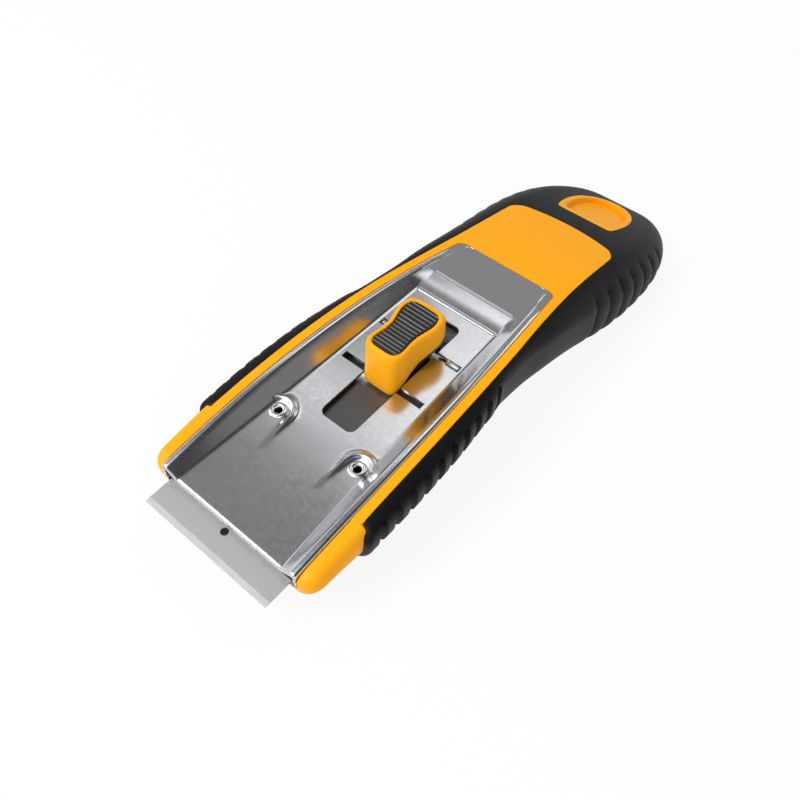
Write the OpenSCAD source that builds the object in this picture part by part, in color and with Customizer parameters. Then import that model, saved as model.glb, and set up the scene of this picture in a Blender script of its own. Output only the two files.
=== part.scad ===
// Razor blade scraper: a moulded handle with a rubber grip, a pressed steel cover plate,
// and a sliding blade carrier that a thumb button unlocks.
// The pieces are drawn on the blade's own plane: Y runs from the cutting edge to the rear
// of the handle, X across it, and Z up from the top face of the blade. placed() then tilts
// everything so that the two pads under the grip stand on Z = 0.

/* [Blade] */
// Width of the blade along its cutting edge
blade_w = 39; // [36:0.5:44]
// Depth of the blade from its edge to its back
blade_d = 19; // [17:0.5:21]
// Thickness of the blade
blade_t = 0.25; // [0.2:0.05:0.35]
// Width of the ground bevel at the edge
blade_bevel = 1.4; // [0.6:0.1:2.5]
// Diameter of the plain hole in the middle of the blade
blade_hole_d = 2; // [1.5:0.1:3]
// Distance of that hole from the edge
blade_hole_y = 6.4; // [5.5:0.1:8]
// Length of blade that shows past the mouth
blade_out = 7.2; // [6.5:0.1:9]
// Diameter of the two pins that carry the blade
pin_d = 2.4; // [1.8:0.1:3]
// Distance between the two pins
pin_pitch = 20; // [14:0.5:26]
// Distance of the pins from the edge
pin_y = 13.5; // [12:0.5:15]

/* [Slide and lock] */
// Sheet thickness of the guide channel
channel_t = 0.5; // [0.4:0.1:0.7]
// Sheet thickness of the blade carrier
carrier_t = 0.6; // [0.5:0.1:0.8]
// Half width of the narrow middle of the carrier
carrier_neck_half = 10.8; // [9.5:0.1:11]
// Half width of the carrier's tail, beside the lock
carrier_tail_half = 15.4; // [14.8:0.1:15.8]
// Sheet thickness of the lock spring
spring_t = 0.4; // [0.3:0.05:0.5]
// Distance between the two pairs of lock notches
lock_pitch = 14.4; // [13:0.2:14.6]
// Distance of the rear notches from the blade's edge
lock_y = 73.4; // [72.4:0.2:75]
// Half length of a pair of notches across the plate
notch_half = 12.8; // [11.5:0.1:13]
// Width of a notch along the plate
notch_w = 2; // [1.8:0.1:2.6]
// Width of a lock tab along the plate
tab_w = 1.2; // [0.8:0.1:1.4]
// Travel of the thumb button when it is pressed
press_travel = 1.3; // [1:0.1:1.3]
// Travel of the carrier that draws the blade back to the mouth
draw_back = 6; // [4:0.5:6.5]

/* [Cover plate] */
// Sheet thickness of the plate
plate_t = 1; // [0.8:0.1:1.2]
// Height of the tray's floor above the blade
floor_z = 2.4; // [2.3:0.1:3]
// Half width of the tray's floor at the lip
floor_front_half = 16.4; // [15:0.1:17]
// Half width of the tray's floor at its rear end
floor_rear_half = 13.2; // [13:0.1:14]
// Rear end of the tray's floor, from the blade's edge
floor_end = 88; // [87:0.5:92]
// Front edge of the shelf behind the tray
shelf_front = 95.3; // [94:0.1:99]
// Rear edge of the shelf
shelf_end = 110.7; // [106:0.1:114]
// Depth of the shelf below the handle's top
shelf_dip = 0.15; // [0.1:0.05:0.4]
// How far each side of the plate draws in towards the shelf
rim_taper = 4.75; // [3.5:0.05:5.5]
// Width of the rolled rim
rim_w = 2.1; // [1.6:0.1:2.6]
// Height of the rolled rim's crown above the handle's top
rim_crown = 0.35; // [0:0.05:0.6]
// Half width of the slot for the thumb button
slot_half = 5.3; // [5:0.1:6]
// Front end of the slot
slot_front = 42; // [40:0.2:42.2]
// Rear end of the slot
slot_end = 84; // [83:0.5:86]
// Distance of the two eyelets from the middle
eyelet_x = 12.8; // [12.6:0.1:13.4]
// Distance of the two eyelets from the blade's edge
eyelet_y = 36; // [34:0.5:37]
// Bore of an eyelet
eyelet_bore = 1.9; // [1.4:0.1:2.2]
// Outer diameter of an eyelet's shank
eyelet_d = 3; // [2.6:0.1:3.2]
// Radius of the crescent pressed up behind each eyelet
crescent_r = 4.4; // [3.8:0.1:4.8]
// Height of that crescent
crescent_h = 0.8; // [0.4:0.1:1.2]

/* [Thumb button] */
// Length of the button's top
button_len = 19.6; // [18:0.1:21]
// Front end of the button's top, from the blade's edge
button_front = 58; // [57.5:0.1:59]
// Height of the button's top above the blade
button_top = 13.9; // [12:0.1:16]
// Half width of the button at its rear
button_rear_half = 6; // [5.5:0.1:6.5]
// Half width of the button at its front
button_front_half = 5.1; // [4.8:0.1:5.6]
// How far the button's sides draw in at the waist
button_waist = 0.9; // [0.4:0.1:1.4]
// Half width of the button where it enters the slot
button_toe_half = 3.5; // [3:0.1:3.6]
// Width of the yellow border round the ribbed pad
pad_border = 1.3; // [1:0.1:1.8]
// Number of ribs across the pad
pad_ribs = 13; // [9:1:15]
// Height of the ribs
pad_rib_h = 0.4; // [0.2:0.1:0.6]

/* [Handle] */
// Radius of the arc that the handle's top follows
arc_r = 357; // [320:1:420]
// Distance of that arc's crown from the blade's edge
crown_y = 48; // [44:1:52]
// Height of the crown above the blade
crown_z = 6.4; // [6:0.1:7.4]
// Rear end of the handle, from the blade's edge
body_end = 179; // [172:0.5:188]
// Thickness of a nose cheek beside the plate
cheek_t = 4.4; // [3.6:0.1:5.4]
// Width of the bare border between the plate and the grip
border_w = 2.4; // [2:0.1:3]
// How far the bare panel draws in from the nose behind the plate
panel_in = 8.1; // [7:0.1:9]
// Distance of the bare panel's rear end from the handle's rear end
panel_back = 36; // [34:0.5:40]
// Distance of the hanging recess's front edge from the handle's rear end
dee_back = 26.8; // [25:0.1:28.5]
// Half width of the hanging recess's border
dee_half = 9.8; // [8.5:0.1:10.5]
// Length of the hanging recess's border
dee_len = 10.6; // [9:0.1:11.5]
// Depth of the hanging recess
dee_depth = 2.2; // [1:0.1:3]
// Width of the border round the hanging recess
dee_border = 1.5; // [1:0.1:2]

/* [Grip] */
// Front end of the rubber grip, from the blade's edge
grip_front = 23; // [21:0.5:25]
// Thickness of the rubber under the handle
grip_floor = 2.2; // [1.6:0.1:3]
// How far the grip's shoulder stands out past the nose
shoulder_out = 0.2; // [0:0.1:2]
// How far the grip's waist draws in from the nose
waist_in = 2.7; // [1.8:0.1:3.4]
// How far the palm of the grip stands out past the nose
palm_out = 0.7; // [-0.5:0.1:2]
// Number of fins on each side
fin_count = 10; // [6:1:11]
// Distance from one fin to the next
fin_pitch = 5.1; // [4.6:0.1:5.2]
// Length of a fin along the handle
fin_len = 2.9; // [2.2:0.1:3.2]
// Height of the front fin above the grip's side
fin_h = 1.6; // [0.8:0.1:2]
// Depth of the gaps between the fins, below the grip's side
fin_gap_d = 1.5; // [0.6:0.1:1.6]
// Number of shallow grooves round each rear corner
groove_count = 6; // [3:1:7]
// Distance from one rear groove to the next
groove_pitch = 6.4; // [5.4:0.1:6.6]
// Depth of the rear grooves
groove_d = 0.5; // [0.2:0.1:0.8]
// Tilt of the blade towards the surface when the handle lies on its pads
tilt = 6; // [4:0.5:8]
// Depth of the blade's plane over the front pad
pad_drop = 12.5; // [11.5:0.1:15]
// Height of the arch between the two pads
arch_h = 5.5; // [3:0.1:6.5]

/* [Hidden] */
$fn = 64;

// Clearances
side_gap = 0.3;
seat_gap = 0.2;
slip_gap = 0.05;
bed_gap = 0.2;
pin_gap = 0.1;

// Levels, from the blade's plane
carrier_z = slip_gap;
carrier_top = carrier_z + carrier_t;
spring_top = carrier_top + spring_t;
channel_top = -blade_t - bed_gap;
bay_floor = channel_top - channel_t;
ledge_z = 0;
plate_under = floor_z - plate_t;

// Plan of the slide
lip_y = blade_out + 1;
channel_inner = blade_w / 2 + side_gap;
channel_half = channel_inner + channel_t;
head_half = blade_w / 2;
head_end = blade_d + 1.2;
head_bay_end = head_end + draw_back + 4;
frame_w = 1.5;
window_front = button_front - 2.4;
window_end = lock_y + 3.5;
window_half = notch_half + 0.3;
tail_front = window_front - frame_w;
tail_end = lock_y + 10.5;
tail_bay_half = carrier_tail_half + side_gap;
bay_end = tail_end + draw_back + 8;

// Plan of the plate and the handle
rim_front = channel_half + 0.1 + plate_t;
taper_from = 20;
taper_run = 84;
nose_half = rim_front + seat_gap + cheek_t;
nose_front = blade_out + 0.3;
shoulder_half = nose_half + shoulder_out;
waist_half = nose_half - waist_in;
palm_half = nose_half + palm_out;
panel_half = nose_half - panel_in;
seat_end = shelf_front + 2.7;
fin_front = grip_front + 1.2;
fin_end = fin_front + fin_count * fin_pitch;
fin_edge = 0.35;
grip_wall = 0.6;
flange_h = 2.6;
keel_in = 1.6;
keel_h = 10;
keel_foot_in = 8;
panel_end = body_end - panel_back;
dee_front = body_end - dee_back;
palm_y = body_end - 40.5;
waist_y = shelf_front + 0.1 * (palm_y - shelf_front);
flank_y = waist_y + 0.38 * (palm_y - waist_y);
heel_y = waist_y + 0.76 * (palm_y - waist_y);
shoulder_y = grip_front + 19;
groove_front = palm_y - 20.2;
groove_end = groove_front + groove_count * groove_pitch;
pad_front_y = 24;
arch_front = shoulder_y + 16;
arch_end = heel_y;
base_round = 6.5;
pad_cut = 0.3;
far = 400;

// Half width of the plate's rim at a distance from the blade's edge
function rim_half(y) =
    rim_front - rim_taper * pow(max(0, y - taper_from) / taper_run, 2.3);

// Half width of the tray's floor
function floor_half(y) =
    floor_front_half
    - (floor_front_half - floor_rear_half) * (y - lip_y) / (floor_end - lip_y);

// Height of the handle's top
function top_z(y) = crown_z - arc_r + sqrt(arc_r * arc_r - pow(y - crown_y, 2));

// Height of the plate's upper face along its middle
function sheet_z(y) =
    y <= floor_end ? floor_z
    : y >= shelf_front ? top_z(y) - shelf_dip
    : floor_z
        + (top_z(shelf_front) - shelf_dip - floor_z) * (y - floor_end) / (shelf_front - floor_end);

// A smooth curve through design points [y, value], flat past both ends
function slope(p, i) =
    i == 0 || i == len(p) - 1 ? 0
    : (p[i + 1][1] - p[i - 1][1]) / (p[i + 1][0] - p[i - 1][0]);
function segment(p, y, i = 0) =
    i >= len(p) - 2 || y < p[i + 1][0] ? i : segment(p, y, i + 1);
function hermite(p, i, h, t) =
    (2 * pow(t, 3) - 3 * pow(t, 2) + 1) * p[i][1]
    + (pow(t, 3) - 2 * pow(t, 2) + t) * h * slope(p, i)
    + (3 * pow(t, 2) - 2 * pow(t, 3)) * p[i + 1][1]
    + (pow(t, 3) - pow(t, 2)) * h * slope(p, i + 1);
function smooth(p, y) =
    y <= p[0][0] ? p[0][1]
    : y >= p[len(p) - 1][0] ? p[len(p) - 1][1]
    : let (i = segment(p, y), h = p[i + 1][0] - p[i][0])
      hermite(p, i, h, (y - p[i][0]) / h);

// Half width of the edge where the bare handle meets the grip
function border_edge(y) = rim_half(y) + seat_gap + border_w;
edge_points = [
    [nose_front, rim_front + seat_gap + border_w - 0.8],
    for (y = [grip_front : 11 : waist_y]) [y, border_edge(y)],
    [flank_y, panel_half + 0.55],
    [heel_y, panel_half],
    [palm_y, panel_half]];
function edge_half(y) = smooth(edge_points, y);

// Half width of the grip's side, and the height at which it is widest
side_points = [
    [nose_front, nose_half],
    [grip_front, shoulder_half],
    [shoulder_y, shoulder_half],
    [shoulder_y + 20, shoulder_half - 1.1],
    [waist_y - 12, waist_half],
    [waist_y, waist_half + 0.7],
    [flank_y, waist_half + 1.3],
    [palm_y, palm_half]];
function side_half(y) = smooth(side_points, y);
bulge_points = [[nose_front, 3.5], [grip_front, 3.4], [shoulder_y + 28, 3.6], [waist_y, 4.7], [palm_y, 10]];
function bulge_z(y) = top_z(y) - smooth(bulge_points, y);

// Height of the underside: a sloping nose, two pads in one plane, and an arch between them
function pad_line(y) = -pad_drop - (y - pad_front_y) * tan(tilt);
function arch(y) =
    y < arch_front || y > arch_end ? 0
    : arch_h * pow(sin(180 * (y - arch_front) / (arch_end - arch_front)), 2);
function nose_rise(y) = 8 * pow(max(0, 1 - (y - nose_front) / (grip_front + 2 - nose_front)), 1.2);
function base_z(y) = pad_line(y) - pad_cut + arch(y) + nose_rise(y);

// Rounding of the rear end and of the nose: shares of the full section left at a station
function rear_share(y) = max(0, y - palm_y) / (body_end - palm_y);
function rear_x(y) = pow(1 - pow(rear_share(y), 2.64), 1 / 2.64);
function rear_up(y) = pow(1 - pow(rear_share(y), 1.8), 1 / 1.8);
function rear_low(y) = pow(1 - pow(rear_share(y), 2.44), 1 / 2.44);
function rear_z(y, z) =
    let (mid = base_z(y) + 0.59 * (top_z(y) - base_z(y)))
    mid + (z - mid) * (z > mid ? rear_up(y) : rear_low(y));
function crest_z(y) = rear_z(y, top_z(y));
nose_round = 3.6;
function nose_in(y) =
    let (u = min(1, max(0, (nose_front + nose_round - y) / nose_round)))
    nose_round * (1 - sqrt(1 - 0.85 * u * u));

// Fins: how far a place on the side stands out, by its station and its share of the way down
function fin_index(y) = floor((y - fin_front + 0.001) / fin_pitch);
function on_fin(y) = y - fin_front - fin_index(y) * fin_pitch <= fin_len + 0.001;
function fin_fade(y) = 1 - 0.5 * max(0, (y - arch_front) / (fin_end - arch_front));
function fin_top(y) = 0.22 + 0.55 * max(0, (y - shoulder_y) / (fin_end - shoulder_y));
function fin_mask(y, s) = min(1, max(0, (s - fin_top(y)) / 0.12 + 0.5));
function fin_out(y, s) =
    y < fin_front || y > fin_end || s > 0.8 ? 0
    : fin_mask(y, s) * fin_fade(y) * (on_fin(y) ? fin_h : -fin_gap_d);
function groove_in(y, s) =
    y < groove_front || y > groove_end || s < 0.2 || s > 0.85 ? 0
    : groove_d * (1 - cos(360 * (y - groove_front) / groove_pitch)) / 2;

// One half of a section of the body, from its top edge down to its underside.
// The finned shoulder tapers towards its pad, and the waist and the palm have plump sides.
shoulder_round = 12;
function plumpness(y) =
    let (u = min(1, max(0, (y - shoulder_y - 22) / (waist_y - shoulder_y - 27))))
    u * u * (3 - 2 * u);
section_steps = 4;
function section(y, k) =
    let (
        edge = edge_half(y),
        side = side_half(y),
        mid = bulge_z(y),
        base = base_z(y),
        plump = plumpness(y),
        foot = side - shoulder_round + (shoulder_round - base_round) * plump,
        full = 1 - 0.47 * plump,
        t = 90 * (k <= section_steps ? k : k - section_steps) / section_steps)
    k <= section_steps
        ? [edge + (side - edge) * sin(t), mid + (top_z(y) - mid) * cos(t)]
        : [foot + (side - foot) * pow(cos(t), full), mid - (mid - base) * pow(sin(t), full)];
function body_point(y, k, finned) =
    let (
        p = section(y, k),
        s = k / (2 * section_steps),
        last = k == 2 * section_steps,
        out = finned && !last ? fin_out(y, s) - groove_in(y, s) : 0,
        wall = k <= section_steps ? min(p[0], edge_half(y) + grip_wall) : 0)
    [(max(p[0] + out, wall) - nose_in(y)) * rear_x(y), y, rear_z(y, p[1])];
function body_ring(y, finned) = [
    for (k = [0 : 2 * section_steps]) body_point(y, k, finned),
    for (k = [2 * section_steps : -1 : 0])
        let (p = body_point(y, k, finned)) [-p[0], p[1], p[2]]];

// Stations of the grip: two edges of each fin and each gap, then the waist and the palm
grip_stations = concat(
    [grip_front],
    [for (i = [0 : fin_count - 1])
        let (y = fin_front + i * fin_pitch)
        each [y, y + fin_len, y + fin_len + fin_edge, y + fin_pitch - fin_edge]],
    [fin_end + 0.01, fin_end + 3],
    [for (y = [fin_end + 9 : 9 : groove_front - 4]) y],
    [for (i = [0 : 2 * groove_count]) groove_front + i * groove_pitch / 2],
    [for (u = [0.55, 0.66, 0.77, 0.86, 0.93, 0.98]) palm_y + u * (body_end - palm_y)]);

// A solid through rings of points, each ring clockwise as seen from the front
module loft(rings) {
    n = len(rings[0]);
    m = len(rings);
    polyhedron(
        points = [for (r = rings) each r],
        faces = [
            [for (j = [0 : n - 1]) j],
            [for (j = [n - 1 : -1 : 0]) (m - 1) * n + j],
            for (i = [0 : m - 2], j = [0 : n - 1])
                let (a = i * n + j, b = i * n + (j + 1) % n)
                each [[a, a + n, b + n], [a, b + n, b]]]);
}

// A side profile in Y and Z, extruded across the handle
module across(half) {
    rotate([90, 0, 90])
        translate([0, 0, -half])
            linear_extrude(2 * half)
                children();
}

// A plan in X and Y, extruded between two heights
module upright(low, high) {
    translate([0, 0, low])
        linear_extrude(high - low)
            children();
}

// A plan with two mirrored sides, from points [half, y] that run from front to rear
module two_sided(side) {
    polygon(concat(side, [for (i = [len(side) - 1 : -1 : 0]) [-side[i][0], side[i][1]]]));
}

// Tilts the tool on to its pads, with the middle of its footprint over the origin
tool_len = max([
    for (y = grip_stations)
        let (p = body_point(y, 2 * section_steps, true))
        p[1] * cos(tilt) - p[2] * sin(tilt)]);
lift = pad_drop * cos(tilt) - pad_front_y * sin(tilt);
module placed() {
    translate([0, -tool_len / 2, lift])
        rotate([tilt, 0, 0])
            children();
}

// Plan of the bare handle inside the grip, with a bowed rear edge and round corners
panel_corner = 3.8;
panel_bow = 3;
panel_shoulder = panel_end - panel_bow - panel_corner;
panel_run = panel_half - panel_corner;
function core_side(inset) = concat(
    [for (y = [grip_front : 7 : panel_shoulder - 3]) [edge_half(y) - inset, y]],
    [for (a = [0 : 15 : 75])
        [panel_run - inset + panel_corner * cos(a), panel_shoulder - inset + panel_corner * sin(a)]],
    [for (u = [0.9 : -0.3 : 0.1])
        [(panel_run - inset) * u, panel_end - inset - panel_bow * u * u]]);
core_stations = concat([for (y = [grip_front : 6 : panel_end]) y], [body_end]);

// The bare handle's block: a flange up to its top or past it, and a keel that the rubber wraps
module core_block(rise) {
    core_slab(0, rise, -flange_h);
    core_slab(keel_in, 0.5 - flange_h, -keel_h);
    core_slab(keel_foot_in, 0.5 - keel_h, -far);
}
module core_slab(inset, high, low) {
    ends = core_stations;
    intersection() {
        upright(-far / 4, far / 4) two_sided(core_side(inset));
        across(far / 8)
            polygon(concat(
                [for (y = ends) [y, crest_z(y) + high]],
                [for (i = [len(ends) - 1 : -1 : 0])
                    [ends[i], max(top_z(ends[i]) + low, base_z(ends[i]) + grip_floor)]]));
    }
}

// Tongue under the rear of the grip, and the boss that fills the hanging recess
tongue_half = dee_half + 1.2;
module dee_plan(inset) {
    half = dee_half - inset;
    run = dee_len - 2 * inset;
    translate([0, dee_front + inset])
        intersection() {
            translate([-half, 0])
                square([2 * half, run]);
            translate([0, run - 1.6 * half])
                circle(1.6 * half);
        }
}
module rear_tongue() {
    tongue_end = dee_front + dee_len + 0.6;
    intersection() {
        upright(-far / 4, far / 4)
            translate([-tongue_half, panel_shoulder])
                square([2 * tongue_half, tongue_end - panel_shoulder]);
        across(far / 8)
            polygon([
                [panel_shoulder, crest_z(panel_shoulder) - 3],
                [tongue_end, crest_z(tongue_end) - 3],
                [tongue_end, base_z(tongue_end) + grip_floor + 1.5],
                [panel_shoulder, base_z(panel_shoulder) + grip_floor + 1.5]]);
    }
}
module dee_boss(rise) {
    low = crest_z(dee_front + dee_len) - 5;
    intersection() {
        upright(low, far / 4) dee_plan(0);
        across(far / 8)
            polygon([
                [dee_front - 0.1 * dee_len, low - 1],
                for (u = [-0.1 : 0.2 : 1.1])
                    let (y = dee_front + u * dee_len) [y, crest_z(y) + rise],
                [dee_front + 1.1 * dee_len, low - 1]]);
    }
}

// Yellow core: nose cheeks, border, rear panel, hanging recess, and the bay for the slide
nose_stations = [nose_front, nose_front + 0.5, nose_front + 1.4, nose_front + 2.8,
    nose_front + 5, 0.5 * (nose_front + 5 + grip_front), grip_front];
module handle_core() {
    color("orange")
        placed()
            difference() {
                union() {
                    loft([for (y = nose_stations) body_ring(y, false)]);
                    core_block(0);
                    rear_tongue();
                    dee_boss(0);
                }
                plate_seat();
                slide_bay();
                dee_hollow();
            }
}
module plate_seat() {
    upright(ledge_z, far / 4)
        two_sided(concat(
            [for (y = [0 : 7 : seat_end - 3]) [rim_half(y) + seat_gap, y]],
            [[rim_half(seat_end) + seat_gap, seat_end]]));
    shelf_stations = [for (y = [seat_end - 1 : 5 : shelf_end + 5]) y];
    intersection() {
        upright(-far / 4, far / 4)
            two_sided([
                [rim_half(seat_end - 1) + seat_gap, seat_end - 1],
                [rim_half(shelf_end - shelf_corner) + seat_gap, shelf_end - shelf_corner],
                [rim_half(shelf_end) + seat_gap - 0.3 * shelf_corner,
                    shelf_end - 0.1 * shelf_corner],
                [rim_half(shelf_end) + seat_gap - shelf_corner, shelf_end + seat_gap]]);
        across(far / 8)
            polygon(concat(
                [for (y = shelf_stations) [y, top_z(y) - shelf_skirt]],
                [[shelf_end + 5, far / 4], [seat_end - 1, far / 4]]));
    }
}
module slide_bay() {
    upright(bay_floor, far / 4)
        translate([-channel_half - seat_gap, 0])
            square([2 * (channel_half + seat_gap), head_bay_end]);
    upright(bay_floor, far / 4)
        translate([-tail_bay_half - seat_gap, 0])
            square([2 * (tail_bay_half + seat_gap), bay_end]);
    for (x = [-eyelet_x, eyelet_x])
        translate([x, eyelet_y, bay_floor - eyelet_foot_h - seat_gap])
            cylinder(h = eyelet_foot_h + 1, d = eyelet_foot_d + 2 * seat_gap);
    for (x = [-screw_x, screw_x])
        translate([x, screw_y, bay_floor - screw_len])
            cylinder(h = screw_len + 1, d = screw_d);
}
module dee_hollow() {
    floor_low = crest_z(dee_front + dee_len) - dee_depth;
    floor_front = crest_z(dee_front) - dee_depth;
    intersection() {
        upright(-far / 4, far / 4) dee_plan(dee_border);
        across(far / 8)
            polygon([
                [dee_front, floor_front],
                [dee_front + dee_len, floor_low],
                [dee_front + dee_len, far / 4],
                [dee_front, far / 4]]);
    }
}

// Rubber grip: a finned loft with the core's block taken out of it, cut flat at the pads
module grip() {
    color([0.2, 0.2, 0.21])
        intersection() {
            placed()
                difference() {
                    loft([for (y = grip_stations) body_ring(y, true)]);
                    core_block(far / 10);
                    rear_tongue();
                    dee_boss(far / 10);
                }
            translate([-far / 2, -far / 2, 0])
                cube(far);
        }
}

// Pressed steel cover plate: skirts, rolled rims, sloped walls, tray floor, ramp and shelf
shelf_corner = 1.8;
shelf_skirt = 1.5;
wall_end = seat_end - seat_gap;
plate_stations = concat(
    [for (y = [lip_y : 10 : floor_end - 4]) y],
    [floor_end, shelf_front, wall_end, wall_end + 0.5],
    [shelf_end - shelf_corner, shelf_end - 0.3 * shelf_corner, shelf_end]);
function shelf_in(y) =
    let (u = max(0, y - shelf_end + shelf_corner) / shelf_corner)
    shelf_corner * (1 - sqrt(1 - u * u));
function plate_half(y) = rim_half(y) - shelf_in(y);
function skirt_z(y) = y <= wall_end ? ledge_z : top_z(y) - shelf_skirt;
function plate_ring(y) =
    let (
        rim = plate_half(y),
        top = top_z(y),
        foot = sheet_z(y),
        inner = min(floor_half(min(y, floor_end)), rim - rim_w - 0.6),
        skirt = skirt_z(y),
        upper = [
            [inner, foot],
            [rim - rim_w, top],
            [rim - rim_w / 2, top + rim_crown],
            [rim, top - rim_crown],
            [rim, skirt]],
        lower = [
            [rim - plate_t, skirt],
            [rim - plate_t, top - rim_crown - plate_t],
            [inner + 0.3, foot - plate_t]])
    [for (i = [2 : 4]) [upper[i][0], y, upper[i][1]],
     for (p = lower) [p[0], y, p[1]],
     for (i = [2 : -1 : 0]) [-lower[i][0], y, lower[i][1]],
     for (i = [4 : -1 : 0]) [-upper[i][0], y, upper[i][1]],
     for (i = [0 : 1]) [upper[i][0], y, upper[i][1]]];
module cover_plate() {
    color("silver")
        placed()
            union() {
                difference() {
                    loft([for (y = plate_stations) plate_ring(y)]);
                    plate_cuts();
                }
                for (x = [-eyelet_x, eyelet_x])
                    translate([x, eyelet_y, floor_z - plate_t / 2])
                        crescent();
            }
}
module plate_cuts() {
    upright(plate_under - 1, floor_z + 1) {
        slot_plan();
        for (y = [lock_y, lock_y - lock_pitch])
            translate([-notch_half, y - notch_w / 2])
                square([2 * notch_half, notch_w]);
    }
    for (x = [-eyelet_x, eyelet_x])
        translate([x, eyelet_y, plate_under - 1])
            cylinder(h = plate_t + 2, d = eyelet_d + 2 * pin_gap);
}
module slot_plan() {
    slot_r = 1.4;
    translate([-slot_half + slot_r, slot_front])
        square([2 * (slot_half - slot_r), slot_end - slot_front]);
    translate([-slot_half, slot_front + slot_r])
        square([2 * slot_half, slot_end - slot_front - 2 * slot_r]);
    for (x = [-slot_half + slot_r, slot_half - slot_r],
        y = [slot_front + slot_r, slot_end - slot_r])
        translate([x, y])
            circle(slot_r);
}
module crescent() {
    tall = crescent_h + plate_t / 2;
    difference() {
        cylinder(h = tall, r = crescent_r);
        translate([0, 0, -1])
            cylinder(h = tall + 2, d = eyelet_head_d + 2 * seat_gap);
        translate([-far / 2, -far - 0.6, -1])
            cube([far, far, tall + 2]);
    }
}

// Guide channel: the steel bed that the blade and its carrier slide on
module guide_channel() {
    color("gainsboro")
        placed()
            difference() {
                union() {
                    upright(bay_floor, channel_top) {
                        translate([-channel_half, blade_out])
                            square([2 * channel_half, head_bay_end - seat_gap - blade_out]);
                        translate([-tail_bay_half, blade_out])
                            square([2 * tail_bay_half, bay_end - seat_gap - blade_out]);
                    }
                    for (side = [-1, 1])
                        translate([side > 0 ? channel_inner : -channel_half, blade_out, bay_floor])
                            cube([channel_t, head_bay_end - seat_gap - blade_out,
                                carrier_top - bay_floor]);
                }
                for (x = [-eyelet_x, eyelet_x])
                    translate([x, eyelet_y, bay_floor - 1])
                        cylinder(h = channel_t + 2, d = eyelet_d + 2 * pin_gap);
                for (x = [-screw_x, screw_x])
                    translate([x, screw_y, bay_floor - 1])
                        cylinder(h = channel_t + 2, d = screw_d + 2 * pin_gap);
            }
}

// Two screws that hold the rear of the guide channel to the core
screw_d = 2.2;
screw_len = 7;
screw_head_d = 4.2;
screw_head_h = 0.9;
screw_x = 9;
screw_slot = 0.5;
screw_y = tail_end + draw_back + screw_head_d;
module channel_screws() {
    color("dimgray")
        placed()
            for (x = [-screw_x, screw_x])
                translate([x, screw_y, 0]) {
                    translate([0, 0, bay_floor - screw_len])
                        cylinder(h = screw_len + channel_t + screw_head_h, d = screw_d);
                    difference() {
                        translate([0, 0, channel_top])
                            cylinder(h = screw_head_h, d = screw_head_d);
                        translate([-screw_head_d, -screw_slot / 2, channel_top + screw_slot])
                            cube([2 * screw_head_d, screw_slot, screw_head_h]);
                    }
                }
}

// Two eyelets that clamp the cover plate to the guide channel
eyelet_head_d = 4.6;
eyelet_head_h = 0.5;
eyelet_foot_h = 0.5;
eyelet_foot_d = 4.4;
module plate_eyelets() {
    color("silver")
        placed()
            for (x = [-eyelet_x, eyelet_x])
                translate([x, eyelet_y, 0])
                    difference() {
                        union() {
                            translate([0, 0, bay_floor - eyelet_foot_h])
                                cylinder(h = eyelet_foot_h, d = eyelet_foot_d);
                            translate([0, 0, bay_floor])
                                cylinder(h = floor_z - bay_floor, d = eyelet_d);
                            translate([0, 0, floor_z])
                                cylinder(h = eyelet_head_h, d = eyelet_head_d);
                        }
                        translate([0, 0, bay_floor - 2])
                            cylinder(h = floor_z - bay_floor + 5, d = eyelet_bore);
                    }
}

// Blade with a ground edge, a plain hole in the middle and two holes for the pins
module blade() {
    color("lightgray")
        placed()
            difference() {
                across(blade_w / 2)
                    polygon([
                        [0, -blade_t / 2], [blade_bevel, -blade_t], [blade_d, -blade_t],
                        [blade_d, 0], [blade_bevel, 0]]);
                translate([0, blade_hole_y, -blade_t - 1])
                    cylinder(h = blade_t + 2, d = blade_hole_d);
                for (x = [-pin_pitch / 2, pin_pitch / 2])
                    translate([x, pin_y, -blade_t - 1])
                        cylinder(h = blade_t + 2, d = pin_d + 2 * pin_gap);
            }
}

// Blade carrier: a wide head over the blade, a narrow neck, and a tail round the lock
module blade_carrier() {
    color("dimgray")
        placed()
            difference() {
                upright(carrier_z, carrier_top) {
                    translate([-head_half, blade_out + 0.5])
                        square([2 * head_half, head_end - blade_out - 0.5]);
                    translate([-carrier_neck_half, head_end - 1])
                        square([2 * carrier_neck_half, tail_end - head_end]);
                    translate([-carrier_tail_half, tail_front])
                        square([2 * carrier_tail_half, tail_end - tail_front]);
                }
                upright(carrier_z - 1, carrier_top + 1)
                    translate([-window_half, window_front])
                        square([2 * window_half, window_end - window_front]);
                for (x = [-pin_pitch / 2, pin_pitch / 2])
                    translate([x, pin_y, carrier_z - 1])
                        cylinder(h = carrier_t + 2, d = pin_d);
                for (x = [-rivet_x, rivet_x])
                    translate([x, rivet_y, carrier_z - 1])
                        cylinder(h = carrier_t + 2, d = rivet_d);
            }
}

// Two pins, riveted through the carrier, that hold the blade by its holes
module blade_pins() {
    color("silver")
        placed()
            for (x = [-pin_pitch / 2, pin_pitch / 2])
                translate([x, pin_y, 0]) {
                    translate([0, 0, -blade_t])
                        cylinder(h = carrier_top + blade_t, d = pin_d);
                    translate([0, 0, carrier_top])
                        cylinder(h = 0.3, d = pin_d + 1.2);
                }
}

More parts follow.
